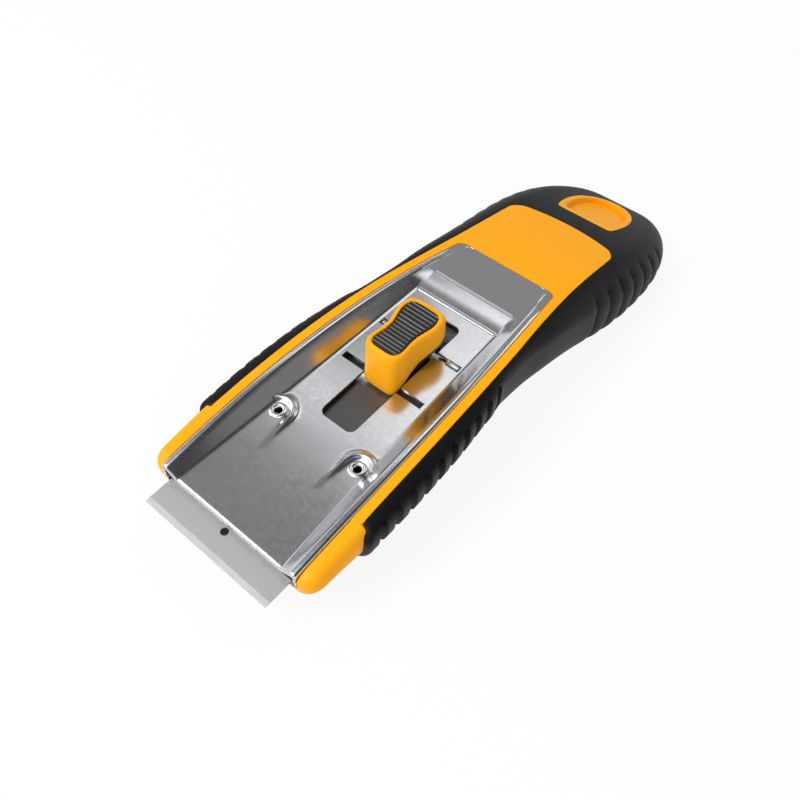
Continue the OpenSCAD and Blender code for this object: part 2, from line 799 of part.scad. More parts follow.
// Lock spring: a leaf riveted to the carrier's tail, with two tabs that stand in the notches
tab_in = notch_half - 4.2;
tab_out = notch_half - 0.4;
spring_half = 3.8;
module lock_spring() {
    color("slategray")
        placed() {
            difference() {
                upright(carrier_top, spring_top) {
                    translate([-rivet_x - 2.4, rivet_y - 2.3])
                        square([2 * rivet_x + 4.8, 4.6]);
                    translate([-spring_half, button_front + 4])
                        square([2 * spring_half, rivet_y - button_front - 4]);
                    translate([-tab_out, lock_y - 1.1])
                        square([2 * tab_out, 2.2]);
                }
                for (x = [-rivet_x, rivet_x])
                    translate([x, rivet_y, carrier_top - 1])
                        cylinder(h = spring_t + 2, d = rivet_d);
            }
            for (x = [-tab_out, tab_in])
                translate([x, lock_y - tab_w / 2, spring_top])
                    cube([tab_out - tab_in, tab_w, floor_z + 0.2 - spring_top]);
        }
}

// Two rivets that fasten the lock spring to the carrier
rivet_d = 1.6;
rivet_x = 4.4;
rivet_y = tail_end - 2.8;
module spring_rivets() {
    color("gray")
        placed()
            for (x = [-rivet_x, rivet_x])
                translate([x, rivet_y, 0]) {
                    translate([0, 0, carrier_z])
                        cylinder(h = spring_top - carrier_z, d = rivet_d);
                    translate([0, 0, spring_top])
                        cylinder(h = 0.2, d = rivet_d + 1);
                }
}

// Thumb button: an hourglass plan, a raked front that runs down into the slot, and a stem
button_rear = button_front + button_len;
button_waist_y = button_front + 0.45 * button_len;
function button_half(y) =
    smooth([
        [button_front + 2, button_front_half],
        [button_waist_y, min(button_front_half, button_rear_half) - button_waist],
        [button_rear - 4, button_rear_half]], y);
toe_z = carrier_top + 0.4;
button_toe_y = button_front - 1.2;
module button_plan(inset) {
    r = 2.6;
    front = button_front + inset;
    rear = button_rear - inset;
    two_sided(concat(
        [for (a = [-90 : 22.5 : 0])
            [button_front_half - inset - r + r * cos(a), front + r + r * sin(a)]],
        [for (y = [front + r + 1.5 : 1.5 : rear - r - 1.5]) [button_half(y) - inset, y]],
        [for (a = [0 : 22.5 : 90])
            [button_rear_half - inset - r + r * cos(a), rear - r + r * sin(a)]]));
}
// Height of the button's dished top
function dish_z(y) =
    button_top - 0.5 * pow(cos(90 * (y - button_waist_y) / (button_len / 2)), 2);
module button_side() {
    polygon(concat(
        [[button_toe_y, toe_z], [button_front, button_top - 1.2]],
        [for (i = [0 : 8])
            let (y = button_front + 0.8 + i * (button_len - 1.6) / 8)
            [y, dish_z(y)]],
        [[button_rear, button_top - 1], [button_rear + 0.6, button_top - 6.4],
         [button_toe_y + 4, toe_z]]));
}
module thumb_button() {
    stem_half = slot_half - 0.7;
    stem_front = button_front + 4.5;
    stem_end = lock_y + 2.3;
    color("orange")
        placed()
            difference() {
                union() {
                    intersection() {
                        union() {
                            upright(0, far / 8) button_plan(0);
                            upright(0, far / 8)
                                translate([-button_toe_half, button_toe_y])
                                    square([2 * button_toe_half, 6]);
                            upright(0, far / 8)
                                translate([-button_rear_half + 2, button_rear - 2])
                                    square([2 * button_rear_half - 4, 3]);
                        }
                        across(far / 8) button_side();
                        toe_taper();
                    }
                    upright(spring_top + 0.1, button_top - 4)
                        translate([-stem_half, stem_front])
                            square([2 * stem_half, stem_end - stem_front]);
                }
                upright(pad_seat_z, far / 8) button_plan(pad_border);
            }
}
// The button narrows from its top down to its toe
module toe_taper() {
    translate([0, far / 2, 0])
        rotate([90, 0, 0])
            linear_extrude(far)
                two_sided([
                    [button_toe_half, toe_z - 1], [button_toe_half, toe_z],
                    [button_rear_half + 0.1, floor_z + press_travel + 3.3],
                    [button_rear_half + 0.1, button_top + 1]]);
}

// Ribbed rubber pad let into the button's top
pad_seat_z = button_top - 1.6;
module button_pad() {
    pitch = (button_len - 2 * pad_border - 1) / pad_ribs;
    color([0.16, 0.16, 0.17])
        placed()
            intersection() {
                upright(pad_seat_z, far / 8) button_plan(pad_border);
                across(far / 8)
                    polygon(concat(
                        [[button_front, pad_seat_z - 1]],
                        [for (i = [0 : pad_ribs - 1])
                            let (y = button_front + pad_border + 0.5 + (i + 0.5) * pitch)
                            each [
                                [y - 0.45 * pitch, dish_z(y) - 0.1],
                                [y - 0.3 * pitch, dish_z(y) - 0.1 + pad_rib_h],
                                [y + 0.3 * pitch, dish_z(y) - 0.1 + pad_rib_h],
                                [y + 0.45 * pitch, dish_z(y) - 0.1]]],
                        [[button_rear, pad_seat_z - 1]]));
            }
}

handle_core();
grip();
cover_plate();
guide_channel();
channel_screws();
plate_eyelets();
blade();
blade_carrier();
blade_pins();
lock_spring();
spring_rivets();
thumb_button();
button_pad();
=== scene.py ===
"""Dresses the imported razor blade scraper.

Every shape is drawn in millimetres on the blade's own plane: Y runs from the cutting edge to the
rear of the handle, X across it and Z up from the blade's top face. Tool.matrix() then tilts it on
to its pads and turns it into metres. A span is a start and the run from there.
"""

import logging
import math
from dataclasses import dataclass, field, replace
from enum import Enum
from typing import Any, Callable, Iterable, Sequence

import bmesh
import bpy
from mathutils import Matrix, Vector


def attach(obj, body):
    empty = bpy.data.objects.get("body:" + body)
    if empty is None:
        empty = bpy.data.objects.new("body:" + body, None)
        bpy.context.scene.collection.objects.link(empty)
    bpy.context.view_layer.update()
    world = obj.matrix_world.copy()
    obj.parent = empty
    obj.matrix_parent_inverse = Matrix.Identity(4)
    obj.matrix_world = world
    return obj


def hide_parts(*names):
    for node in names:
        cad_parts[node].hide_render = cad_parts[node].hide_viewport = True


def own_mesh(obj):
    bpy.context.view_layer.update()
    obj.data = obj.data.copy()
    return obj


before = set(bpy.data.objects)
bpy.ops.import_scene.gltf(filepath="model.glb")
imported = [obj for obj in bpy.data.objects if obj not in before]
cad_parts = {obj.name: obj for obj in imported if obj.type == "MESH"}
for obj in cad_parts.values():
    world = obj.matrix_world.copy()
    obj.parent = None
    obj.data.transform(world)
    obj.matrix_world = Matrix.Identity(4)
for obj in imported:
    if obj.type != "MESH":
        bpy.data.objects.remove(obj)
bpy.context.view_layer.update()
LOG = logging.getLogger("scraper")
MM = 0.001
WELD = 0.002
FINE_WELD = 0.0005
TOUCH = 0.01
QUARTER = math.pi / 2
UP = Vector((0, 0, 1))
SIDES = (-1, 1)
Pair = tuple[float, float]
Point = tuple[float, float, float]
Test = Callable[[Vector], bool]
Place = Callable[[int, int], Point]
Shape = bmesh.types.BMesh
Socket = bpy.types.NodeSocket


class Body(Enum):
    """The rigid bodies that pieces ride on."""

    HANDLE = "handle"
    CARRIAGE = "carriage"
    BUTTON = "button"


class Grain(Enum):
    """How the fine relief of a finish runs."""

    MOULDED = (1.0, 1.0, 1.0)
    ACROSS = (0.05, 1.0, 1.0)
    ALONG = (1.0, 0.06, 1.0)


def clamp(value: float) -> float:
    """Hold a value between 0 and 1."""
    return max(0.0, min(1.0, value))


def part(value: float, span: Pair) -> float:
    """How far a value has gone along a span, from 0 to 1."""
    return clamp((value - span[0]) / span[1])


def fade(value: float, span: Pair) -> float:
    """A smooth step from 0 to 1 along a span."""
    t = part(value, span)
    return t * t * (3 - 2 * t)


def fall(share: float) -> float:
    """How far a quarter circle of radius 1 has dropped at a share of its radius."""
    return 1 - math.sqrt(max(0.0, 1 - share * share))


def bell(offset: float, width: float) -> float:
    """A smooth hump of height 1."""
    return math.exp(-((offset / width) ** 2))


def spread(start: float, end: float, count: int) -> list[float]:
    """Evenly spaced values, both ends included."""
    return [start + (end - start) * i / (count - 1) for i in range(count)]


def corner_rows(end: float, radius: float, count: int) -> list[float]:
    """Stations that close up towards the end of a round corner, without its start."""
    return [end - radius * (1 - math.sin(a)) for a in spread(0, QUARTER, count)[1:]]


@dataclass(frozen=True)
class Curve:
    """A smooth curve through design points, flat past both ends."""

    points: tuple[Pair, ...]

    def slope(self, i: int) -> float:
        """The slope at a point, level at both ends.

        Args:
            i: The point's number.

        Returns:
            The slope.
        """
        p = self.points
        if i in (0, len(p) - 1):
            return 0.0
        return (p[i + 1][1] - p[i - 1][1]) / (p[i + 1][0] - p[i - 1][0])

    def at(self, x: float) -> float:
        """The curve's value at x.

        Args:
            x: Where to read the curve.

        Returns:
            The value there.
        """
        p = self.points
        if x <= p[0][0]:
            return p[0][1]
        if x >= p[-1][0]:
            return p[-1][1]
        i = max(k for k in range(len(p) - 1) if p[k][0] <= x)
        h = p[i + 1][0] - p[i][0]
        t = (x - p[i][0]) / h
        return (
            (2 * t**3 - 3 * t**2 + 1) * p[i][1]
            + (t**3 - 2 * t**2 + t) * h * self.slope(i)
            + (3 * t**2 - 2 * t**3) * p[i + 1][1]
            + (t**3 - t**2) * h * self.slope(i + 1)
        )


@dataclass(frozen=True)
class Tool:
    """The tool's frame and the curves that its pieces share."""

    tilt: float = 6.0
    half_len: float = 89.885
    lift: float = 9.923
    clear: float = 0.02
    rim_front: float = 21.4
    rim_taper: float = 4.75
    rim_bend: Pair = (20.0, 84.0)
    rim_power: float = 2.3
    border: float = 2.6
    nose_pinch: float = 0.8
    pinch: Pair = (23.0, -15.5)
    panel_from: float = 89.0
    arc_r: float = 357.0
    crown_y: float = 48.0
    crown_z: float = 6.4
    nose_front: float = 7.5
    nose_len: float = 17.5
    nose_lift: float = 8.0
    nose_power: float = 1.2
    pad_y: float = 24.0
    pad_z: float = -12.5
    arch: Pair = (58.0, 71.2)
    arch_rise: float = 5.5
    palm_y: float = 138.5
    body_end: float = 178.19
    round_end: float = 179.0
    rear_plan: float = 2.64
    rear_mid: float = 0.59
    rear_upper: float = 1.8
    rear_lower: float = 2.44
    base_round: float = 6.5
    shoulder_round: float = 12.0
    plump: Pair = (64.0, 30.6)
    plump_share: float = 0.47
    dee_front: float = 151.4
    dee_half: float = 10.6
    dee_len: float = 23.0
    dee_mid: float = 0.36
    dee_flare: float = 1.1
    dee_corner: float = 1.3
    side: Curve = Curve(
        (
            (7.5, 26.0), (23, 26.2), (42, 26.2), (62, 25.1),
            (87.6, 23.3), (99.6, 24.0), (114.4, 24.6), (138.5, 26.7),
        )
    )
    bulge: Curve = Curve(((7.5, 3.5), (23, 3.4), (70, 3.6), (99.6, 4.7), (138.5, 10.0)))
    rear_edge: Curve = Curve(
        ((78, 22.0), (89, 20.92), (99.6, 19.75), (114.4, 18.45), (129.2, 17.9), (138.5, 17.9))
    )

    def matrix(self) -> Matrix:
        """The step from the blade's plane, in millimetres, to the row frame, in metres."""
        place = Matrix.Translation((0, -self.half_len, self.lift))
        return Matrix.Scale(MM, 4) @ place @ Matrix.Rotation(math.radians(self.tilt), 4, "X")

    def rim(self, y: float) -> float:
        """Half width of the plate's rim."""
        start, run = self.rim_bend
        return self.rim_front - self.rim_taper * (max(0.0, y - start) / run) ** self.rim_power

    def top(self, y: float) -> float:
        """Height of the handle's top."""
        return self.crown_z - self.arc_r + math.sqrt(self.arc_r**2 - (y - self.crown_y) ** 2)

    def edge(self, y: float) -> float:
        """Half width of the line where the bare handle meets the rubber."""
        beside = self.rim(y) + self.border - self.nose_pinch * part(y, self.pinch)
        return beside if y < self.panel_from else self.rear_edge.at(y)

    def base(self, y: float) -> float:
        """Height of the underside: a rising nose, two pads and the arch between them.

        Args:
            y: The station.

        Returns:
            The height.
        """
        pads = self.pad_z - (y - self.pad_y) * math.tan(math.radians(self.tilt))
        arch = self.arch_rise * math.sin(math.pi * part(y, self.arch)) ** 2
        ahead = max(0.0, 1 - (y - self.nose_front) / self.nose_len)
        return pads + arch + self.nose_lift * ahead**self.nose_power + self.clear

    def rear_share(self, y: float) -> float:
        """How far a station has gone round the rear end, from 0 to 1."""
        return clamp((y - self.palm_y) / (self.round_end - self.palm_y))

    def rear_x(self, y: float) -> float:
        """Share of the full width left at the rear end."""
        return (1 - self.rear_share(y) ** self.rear_plan) ** (1 / self.rear_plan)

    def rear_z(self, y: float, z: float) -> float:
        """A height drawn in towards the middle of the rear end.

        Args:
            y: The station.
            z: The height before.

        Returns:
            The height drawn in.
        """
        mid = self.base(y) + self.rear_mid * (self.top(y) - self.base(y))
        power = self.rear_upper if z > mid else self.rear_lower
        return mid + (z - mid) * (1 - self.rear_share(y) ** power) ** (1 / power)

    def skin(self, y: float) -> float:
        """Height of the top surface along the middle, with the rear rounding."""
        return self.rear_z(y, self.top(y))

    def recess(self, y: float, inset: float = 0.0) -> float:
        """Half width of the hanging recess, a D with its round side to the rear.

        Args:
            y: The station.
            inset: How far its plan is drawn in.

        Returns:
            The half width.
        """
        low, high = self.dee_front + inset, self.dee_front + self.dee_len - inset
        half, mid = self.dee_half - inset, low + self.dee_mid * (high - low)
        if y > mid:
            return half * (1 - fall((y - mid) / (high - mid)))
        corner = self.dee_corner * fall(clamp(1 - (y - low) / self.dee_corner))
        return half - self.dee_flare * ((mid - y) / (mid - low)) ** 2 - corner

    def section(self, y: float, turn: float) -> Pair:
        """A point on one side of the plain section.

        Args:
            y: The station.
            turn: 0 at the top edge, 1 at the widest place, 2 at the foot.

        Returns:
            The half width and the height.
        """
        edge, side = self.edge(y), self.side.at(y)
        mid = self.top(y) - self.bulge.at(y)
        if turn <= 1:
            a = turn * QUARTER
            return edge + (side - edge) * math.sin(a), mid + (self.top(y) - mid) * math.cos(a)
        a = (turn - 1) * QUARTER
        plump = fade(y, self.plump)
        foot = side - self.shoulder_round + (self.shoulder_round - self.base_round) * plump
        full = 1 - self.plump_share * plump
        across = max(0.0, math.cos(a)) ** full
        down = max(0.0, math.sin(a)) ** full
        return foot + (side - foot) * across, mid - (mid - self.base(y)) * down


TOOL = Tool()


@dataclass(frozen=True)
class Tree:
    """A node tree, with the few kinds of node that the finishes and the studio need.

    An input takes a socket, which is linked, or a constant, which is set.
    """

    tree: bpy.types.NodeTree

    def feed(self, node: bpy.types.Node, inputs: dict[str | int, Any]) -> None:
        """Link or set some of a node's inputs.

        Args:
            node: The node.
            inputs: What each input takes, by its name or number.
        """
        for key, value in inputs.items():
            if isinstance(value, Socket):
                self.tree.links.new(value, node.inputs[key])
            else:
                node.inputs[key].default_value = value

    def add(self, kind: str, inputs: dict[str | int, Any]) -> bpy.types.Node:
        """Add a node.

        Args:
            kind: Its type.
            inputs: What each input takes, by its name or number.

        Returns:
            The node.
        """
        node = self.tree.nodes.new(kind)
        self.feed(node, inputs)
        return node

    def coordinates(self, kind: str) -> Socket:
        """Add texture coordinates of one kind."""
        return self.add("ShaderNodeTexCoord", {}).outputs[kind]

    def mix(self, share: Socket, first: Any, second: Any) -> Socket:
        """Mix two colours.

        Args:
            share: The second colour's share.
            first: The first colour.
            second: The second colour.

        Returns:
            The mixed colour.
        """
        node = self.tree.nodes.new("ShaderNodeMix")
        node.data_type = "RGBA"
        self.feed(node, {"Factor": share, "A": first, "B": second})
        return node.outputs["Result"]

    def combine(self, operation: str, first: Any, second: Any) -> Socket:
        """Combine two numbers.

        Args:
            operation: How, in the math node's own words.
            first: The first number.
            second: The second number.

        Returns:
            The outcome.
        """
        node = self.add("ShaderNodeMath", {0: first, 1: second})
        node.operation = operation
        return node.outputs["Value"]

    def remap(
        self, value: Socket, low: float, high: float, ends: Pair = (0, 1), way: str = "LINEAR"
    ) -> Socket:
        """Turn one range of values into another.

        Args:
            value: What it reads.
            low: Where the first range starts.
            high: Where the first range ends.
            ends: The second range.
            way: How it goes from end to end, in the node's own words.

        Returns:
            The value in the second range.
        """
        ranges = {"From Min": low, "From Max": high, "To Min": ends[0], "To Max": ends[1]}
        node = self.add("ShaderNodeMapRange", {"Value": value, **ranges})
        node.interpolation_type = way
        return node.outputs["Result"]

    def noise(self, place: Socket, scale: float, detail: float, stretch: Point = (1.0, 1.0, 1.0)) -> Socket:
        """Add a noise that may be stretched.

        Args:
            place: The coordinates it reads.
            scale: Cycles per metre.
            detail: Octaves.
            stretch: Share of the scale along each axis.

        Returns:
            The noise's value.
        """
        turn = self.add("ShaderNodeMapping", {"Vector": place, "Scale": stretch}).outputs["Vector"]
        made = self.add("ShaderNodeTexNoise", {"Vector": turn, "Scale": scale, "Detail": detail})
        return made.outputs["Fac"]

    def bump(self, height: Socket, depth: float, under: dict[str, Socket]) -> Socket:
        """Add a relief.

        Args:
            height: Its height, from 0 to 1.
            depth: Its depth, in millimetres.
            under: The normal of a relief that it lies on, if there is one.

        Returns:
            The new normal.
        """
        inputs = {"Height": height, "Strength": 1.0, "Distance": depth * MM}
        return self.add("ShaderNodeBump", {**inputs, **under}).outputs["Normal"]

    def ramp(self, value: Socket, stops: Sequence[Pair]) -> Socket:
        """Add a grey ramp.

        Args:
            value: What it reads, from 0 to 1.
            stops: Each stop's place and shade.

        Returns:
            The ramp's colour.
        """
        made = self.add("ShaderNodeValToRGB", {"Fac": value})
        stock = made.color_ramp.elements
        for i, (at, shade) in enumerate(stops):
            stop = stock[i] if i < 2 else stock.new(at)
            stop.position = at
            stop.color = (shade, shade, shade, 1)
        return made.outputs["Color"]

    def seen(self) -> Socket:
        """Tell the rays that show the background from those that light the object.

        Returns:
            1 for the eye's rays and for those off metal or through glass.
        """
        path = self.add("ShaderNodeLightPath", {}).outputs
        mirrored_or_eye = self.combine("MAXIMUM", path["Is Camera Ray"], path["Is Glossy Ray"])
        return self.combine("MAXIMUM", mirrored_or_eye, path["Is Transmission Ray"])


@dataclass(frozen=True)
class Finish:
    """A procedural finish: a base colour with slow variation, fine relief and wear in its gloss.

    Colours are linear. Scales are in cycles per metre and depths in millimetres.
    """

    name: str
    slot: str
    colour: Point
    rough: float
    metal: float = 0.0
    specular: float = 0.5
    grain: Grain = Grain.MOULDED
    grain_scale: float = 2600.0
    grain_depth: float = 0.1
    wave_scale: float = 0.0
    wave_depth: float = 0.0
    cloud_scale: float = 90.0
    shade: float = 0.06
    rough_spread: float = 0.08
    rough_least: float = 0.02
    wear: Pair = (0.3, 0.7)

    def tone(self, share: float) -> tuple[float, ...]:
        """The base colour made lighter or darker by a share."""
        return (*[min(1.0, c * (1 + share)) for c in self.colour], 1)

    def material(self) -> bpy.types.Material:
        """Make the finish as a node material.

        Returns:
            The material, shared by every piece that asks for it.
        """
        found = bpy.data.materials.get(self.name)
        if found:
            return found
        made = bpy.data.materials.new(self.name)
        made.use_nodes = True
        tree = Tree(made.node_tree)
        place = tree.coordinates("Object")
        cloud = tree.noise(place, self.cloud_scale, 3.0)
        fine = tree.noise(place, self.grain_scale, 2.0, self.grain.value)
        gloss = (max(self.rough_least, self.rough - self.rough_spread), self.rough + self.rough_spread)
        under = {}
        if self.wave_scale:
            broad = tree.noise(place, self.wave_scale, 1.0)
            under["Normal"] = tree.bump(broad, self.wave_depth, {})
        sockets = {
            "Metallic": self.metal,
            "Specular IOR Level": self.specular,
            "Base Color": tree.mix(cloud, self.tone(-self.shade), self.tone(self.shade)),
            "Roughness": tree.remap(fine, *self.wear, gloss),
            "Normal": tree.bump(fine, self.grain_depth, under),
        }
        tree.feed(made.node_tree.nodes["Principled BSDF"], sockets)
        return made


YELLOW = Finish(
    "yellow_moulding", "handle", (1.0, 0.405, 0.004), 0.45, specular=0.16, grain_depth=0.012, shade=0.03,
)
BUTTON_YELLOW = replace(YELLOW, name="yellow_button", slot="button", rough=0.42)
RUBBER = Finish(
    "black_rubber", "grip", (0.004, 0.004, 0.0044), 0.5, specular=0.13, grain_scale=3200, grain_depth=0.05,
    shade=0.12,
)
PAD_RUBBER = replace(
    RUBBER, name="pad_rubber", slot="pad", colour=(0.006, 0.006, 0.0065), specular=0.25, grain_depth=0.03,
    shade=0.1,
)
# Painted highlight: a pale grey on the pad's rib crests, standing for the light that they catch.
PAD_CREST_HIGHLIGHT = replace(
    PAD_RUBBER, name="pad_crest_painted_highlight", colour=(0.19, 0.19, 0.195), rough=0.45, specular=0.5, grain_depth=0.01,
)
PLATE_STEEL = Finish(
    "pressed_steel", "plate", (0.62, 0.63, 0.65), 0.19, metal=1.0, grain_scale=900, grain_depth=0.0006,
    wave_scale=95, wave_depth=0.035, shade=0.05, rough_spread=0.025,
)
CHANNEL_STEEL = Finish(
    "channel_steel", "channel", (0.36, 0.36, 0.37), 0.34, metal=1.0, grain=Grain.ALONG, grain_scale=2000,
    grain_depth=0.004,
)
CARRIER_STEEL = replace(CHANNEL_STEEL, name="carrier_steel", colour=(0.13, 0.13, 0.13), rough=0.42)
BLADE_STEEL = Finish(
    "ground_blade_steel", "blade", (0.4, 0.4, 0.4), 0.55, metal=1.0, grain=Grain.ACROSS, grain_scale=5000,
    grain_depth=0.004, shade=0.03,
)
BRIGHT_STEEL = Finish(
    "bright_steel", "fastener", (0.8, 0.8, 0.81), 0.16, metal=1.0, grain_scale=1600, grain_depth=0.004,
    shade=0.04,
)
# Painted shade: a near-black steel for the disc under the blade's hole, which makes the hole read dark.
TONGUE_STEEL_PAINTED_SHADE = Finish(
    "tongue_steel_painted_shade", "channel", (0.03, 0.03, 0.03), 0.5, metal=1.0, grain_depth=0.004, shade=0.1,
)
# The button's steel stem. Its dark grey is also painted shade: it stands for the shade and dark reflection
# seen under the button.
POST_STEEL_PAINTED_SHADE = replace(
    TONGUE_STEEL_PAINTED_SHADE, name="post_steel_painted_shade", slot="button", colour=(0.2, 0.2, 0.2), rough=0.45, shade=0.08,
)
LEAF_STEEL = Finish(
    "leaf_steel", "spring", (0.12, 0.12, 0.12), 0.4, metal=1.0, grain=Grain.ACROSS, grain_depth=0.003,
)
SPRING_STEEL = replace(LEAF_STEEL, name="spring_steel", colour=(0.82, 0.82, 0.84), rough=0.2, shade=0.04)


def shaped_grid(columns: int, rows: int, place: Place) -> Shape:
    """Make a grid of quads and put each of its points in place.

    Args:
        columns: Points in each row.
        rows: Number of rows.
        place: Gives a point's place from its column and row.

    Returns:
        The shaped grid.
    """
    bm = bmesh.new()
    bmesh.ops.create_grid(bm, x_segments=columns - 1, y_segments=rows - 1, size=1.0)
    for v in bm.verts:
        column = round((v.co.x + 1) / 2 * (columns - 1))
        row = round((v.co.y + 1) / 2 * (rows - 1))
        v.co = place(column, row)
    return bm


def row_sheet(rows: Sequence[Sequence[Point]]) -> Shape:
    """Make an open sheet from its rows of points."""
    return shaped_grid(len(rows[0]), len(rows), lambda column, row: rows[row][column])


def ring_solid(points: int, rings: int, place: Place) -> Shape:
    """Make a solid from rings that close on themselves, with a face on each end.

    Args:
        points: Points in each ring.
        rings: Number of rings.
        place: Gives a point's place from its number and its ring's.

    Returns:
        The solid.
    """
    bm = shaped_grid(points + 1, rings, lambda column, row: place(column % points, row))
    bmesh.ops.remove_doubles(bm, verts=bm.verts, dist=FINE_WELD)
    bmesh.ops.holes_fill(bm, edges=[e for e in bm.edges if e.is_boundary], sides=0)
    return bm


def add_box(bm: Shape, middle: Sequence[float], size: Sequence[float]) -> list[bmesh.types.BMVert]:
    """Add a box to a shape and give its corners."""
    place = Matrix.Translation(middle) @ Matrix.Diagonal((*size, 1.0))
    return bmesh.ops.create_cube(bm, size=1.0, matrix=place)["verts"]


def soften(bm: Shape, edges: Iterable[bmesh.types.BMEdge], offset: float, segments: int) -> None:
    """Round some edges of a shape."""
    rounding = {"offset": offset, "segments": segments, "profile": 0.5}
    bmesh.ops.bevel(bm, geom=list(edges), affect="EDGES", material=-1, **rounding)


def mirrored(bm: Shape) -> None:
    """Add the other half of a shape and weld the two along the middle plane.

    Args:
        bm: The half, with its open edge on the plane.
    """
    everything = list(bm.verts) + list(bm.edges) + list(bm.faces)
    bmesh.ops.mirror(bm, geom=everything, axis="X", merge_dist=WELD)
    bmesh.ops.remove_doubles(bm, verts=bm.verts, dist=WELD)


def drop_faces(bm: Shape, gone: Test) -> None:
    """Delete the faces whose middle answers a test, with what hangs on them alone."""
    faces = [f for f in bm.faces if gone(f.calc_center_median())]
    bmesh.ops.delete(bm, geom=faces, context="FACES")


def turn_in(bm: Shape, shift: Point, test: Test = lambda p: True) -> None:
    """Give an open sheet a wall along its free edges.

    Args:
        bm: The sheet.
        shift: Where the wall's other edge lies from the free edge.
        test: Says which free edges take part, by their middle.
    """
    free = [e for e in bm.edges if e.is_boundary and test((e.verts[0].co + e.verts[1].co) / 2)]
    grown = bmesh.ops.extrude_edge_only(bm, edges=free)["geom"]
    moved = [g for g in grown if isinstance(g, bmesh.types.BMVert)]
    bmesh.ops.translate(bm, vec=Vector(shift), verts=moved)


def face_outwards(bm: Shape, probe: Test, way: Vector) -> None:
    """Turn a sheet over if the faces that a test picks point away from a direction.

    Args:
        bm: The sheet.
        probe: Says which faces are asked, by their middle.
        way: Where they should point.
    """
    bmesh.ops.recalc_face_normals(bm, faces=bm.faces)
    lean = sum(f.normal.dot(way) for f in bm.faces if probe(f.calc_center_median()))
    if lean < 0:
        bmesh.ops.reverse_faces(bm, faces=bm.faces)


def joined(parts: Iterable[Shape]) -> Shape:
    """Put several shapes into one.

    Args:
        parts: The shapes. They are freed.

    Returns:
        The whole.
    """
    whole = bmesh.new()
    for shape in parts:
        held = bpy.data.meshes.new("held")
        shape.to_mesh(held)
        shape.free()
        whole.from_mesh(held)
        bpy.data.meshes.remove(held)
    return whole


def placed(name: str, bm: Shape, matrix: Matrix) -> bpy.types.Object:
    """Turn a shape into an object of the scene.

    Args:
        name: The object's name.
        bm: The shape. It is freed.
        matrix: The step from the shape's own frame to the scene's.

    Returns:
        The object.
    """
    bmesh.ops.transform(bm, matrix=matrix, verts=bm.verts)
    mesh = bpy.data.meshes.new(name)
    bm.to_mesh(mesh)
    bm.free()
    made = bpy.data.objects.new(name, mesh)
    bpy.context.scene.collection.objects.link(made)
    return made


def smooth(mesh: bpy.types.Mesh, sharp: float) -> None:
    """Shade a mesh smooth, apart from the edges sharper than an angle in degrees."""
    mesh.polygons.foreach_set("use_smooth", [True] * len(mesh.polygons))
    mesh.set_sharp_from_angle(angle=math.radians(sharp))


@dataclass
class Piece:
    """One finished piece: its finish, body and the CAD nodes that it stands for.

    Faces with material index 1 take the second finish.
    """

    name: str
    finish: Finish
    body: Body
    nodes: Sequence[str] = ()
    sharp: float = 40.0
    second: Finish | None = None

    def make(self, bm: Shape) -> bpy.types.Object:
        """Turn a shape on the blade's plane into a piece of the model.

        Args:
            bm: The shape, in millimetres. It is freed.

        Returns:
            The new object.
        """
        made = placed(self.name, bm, TOOL.matrix())
        smooth(made.data, self.sharp)
        made.data.materials.append(self.finish.material())
        if self.second:
            made.data.materials.append(self.second.material())
        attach(made, self.body.value)
        if self.nodes:
            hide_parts(*self.nodes)
        LOG.info("%s: %d faces on %s", self.name, len(made.data.polygons), self.body.value)
        return made


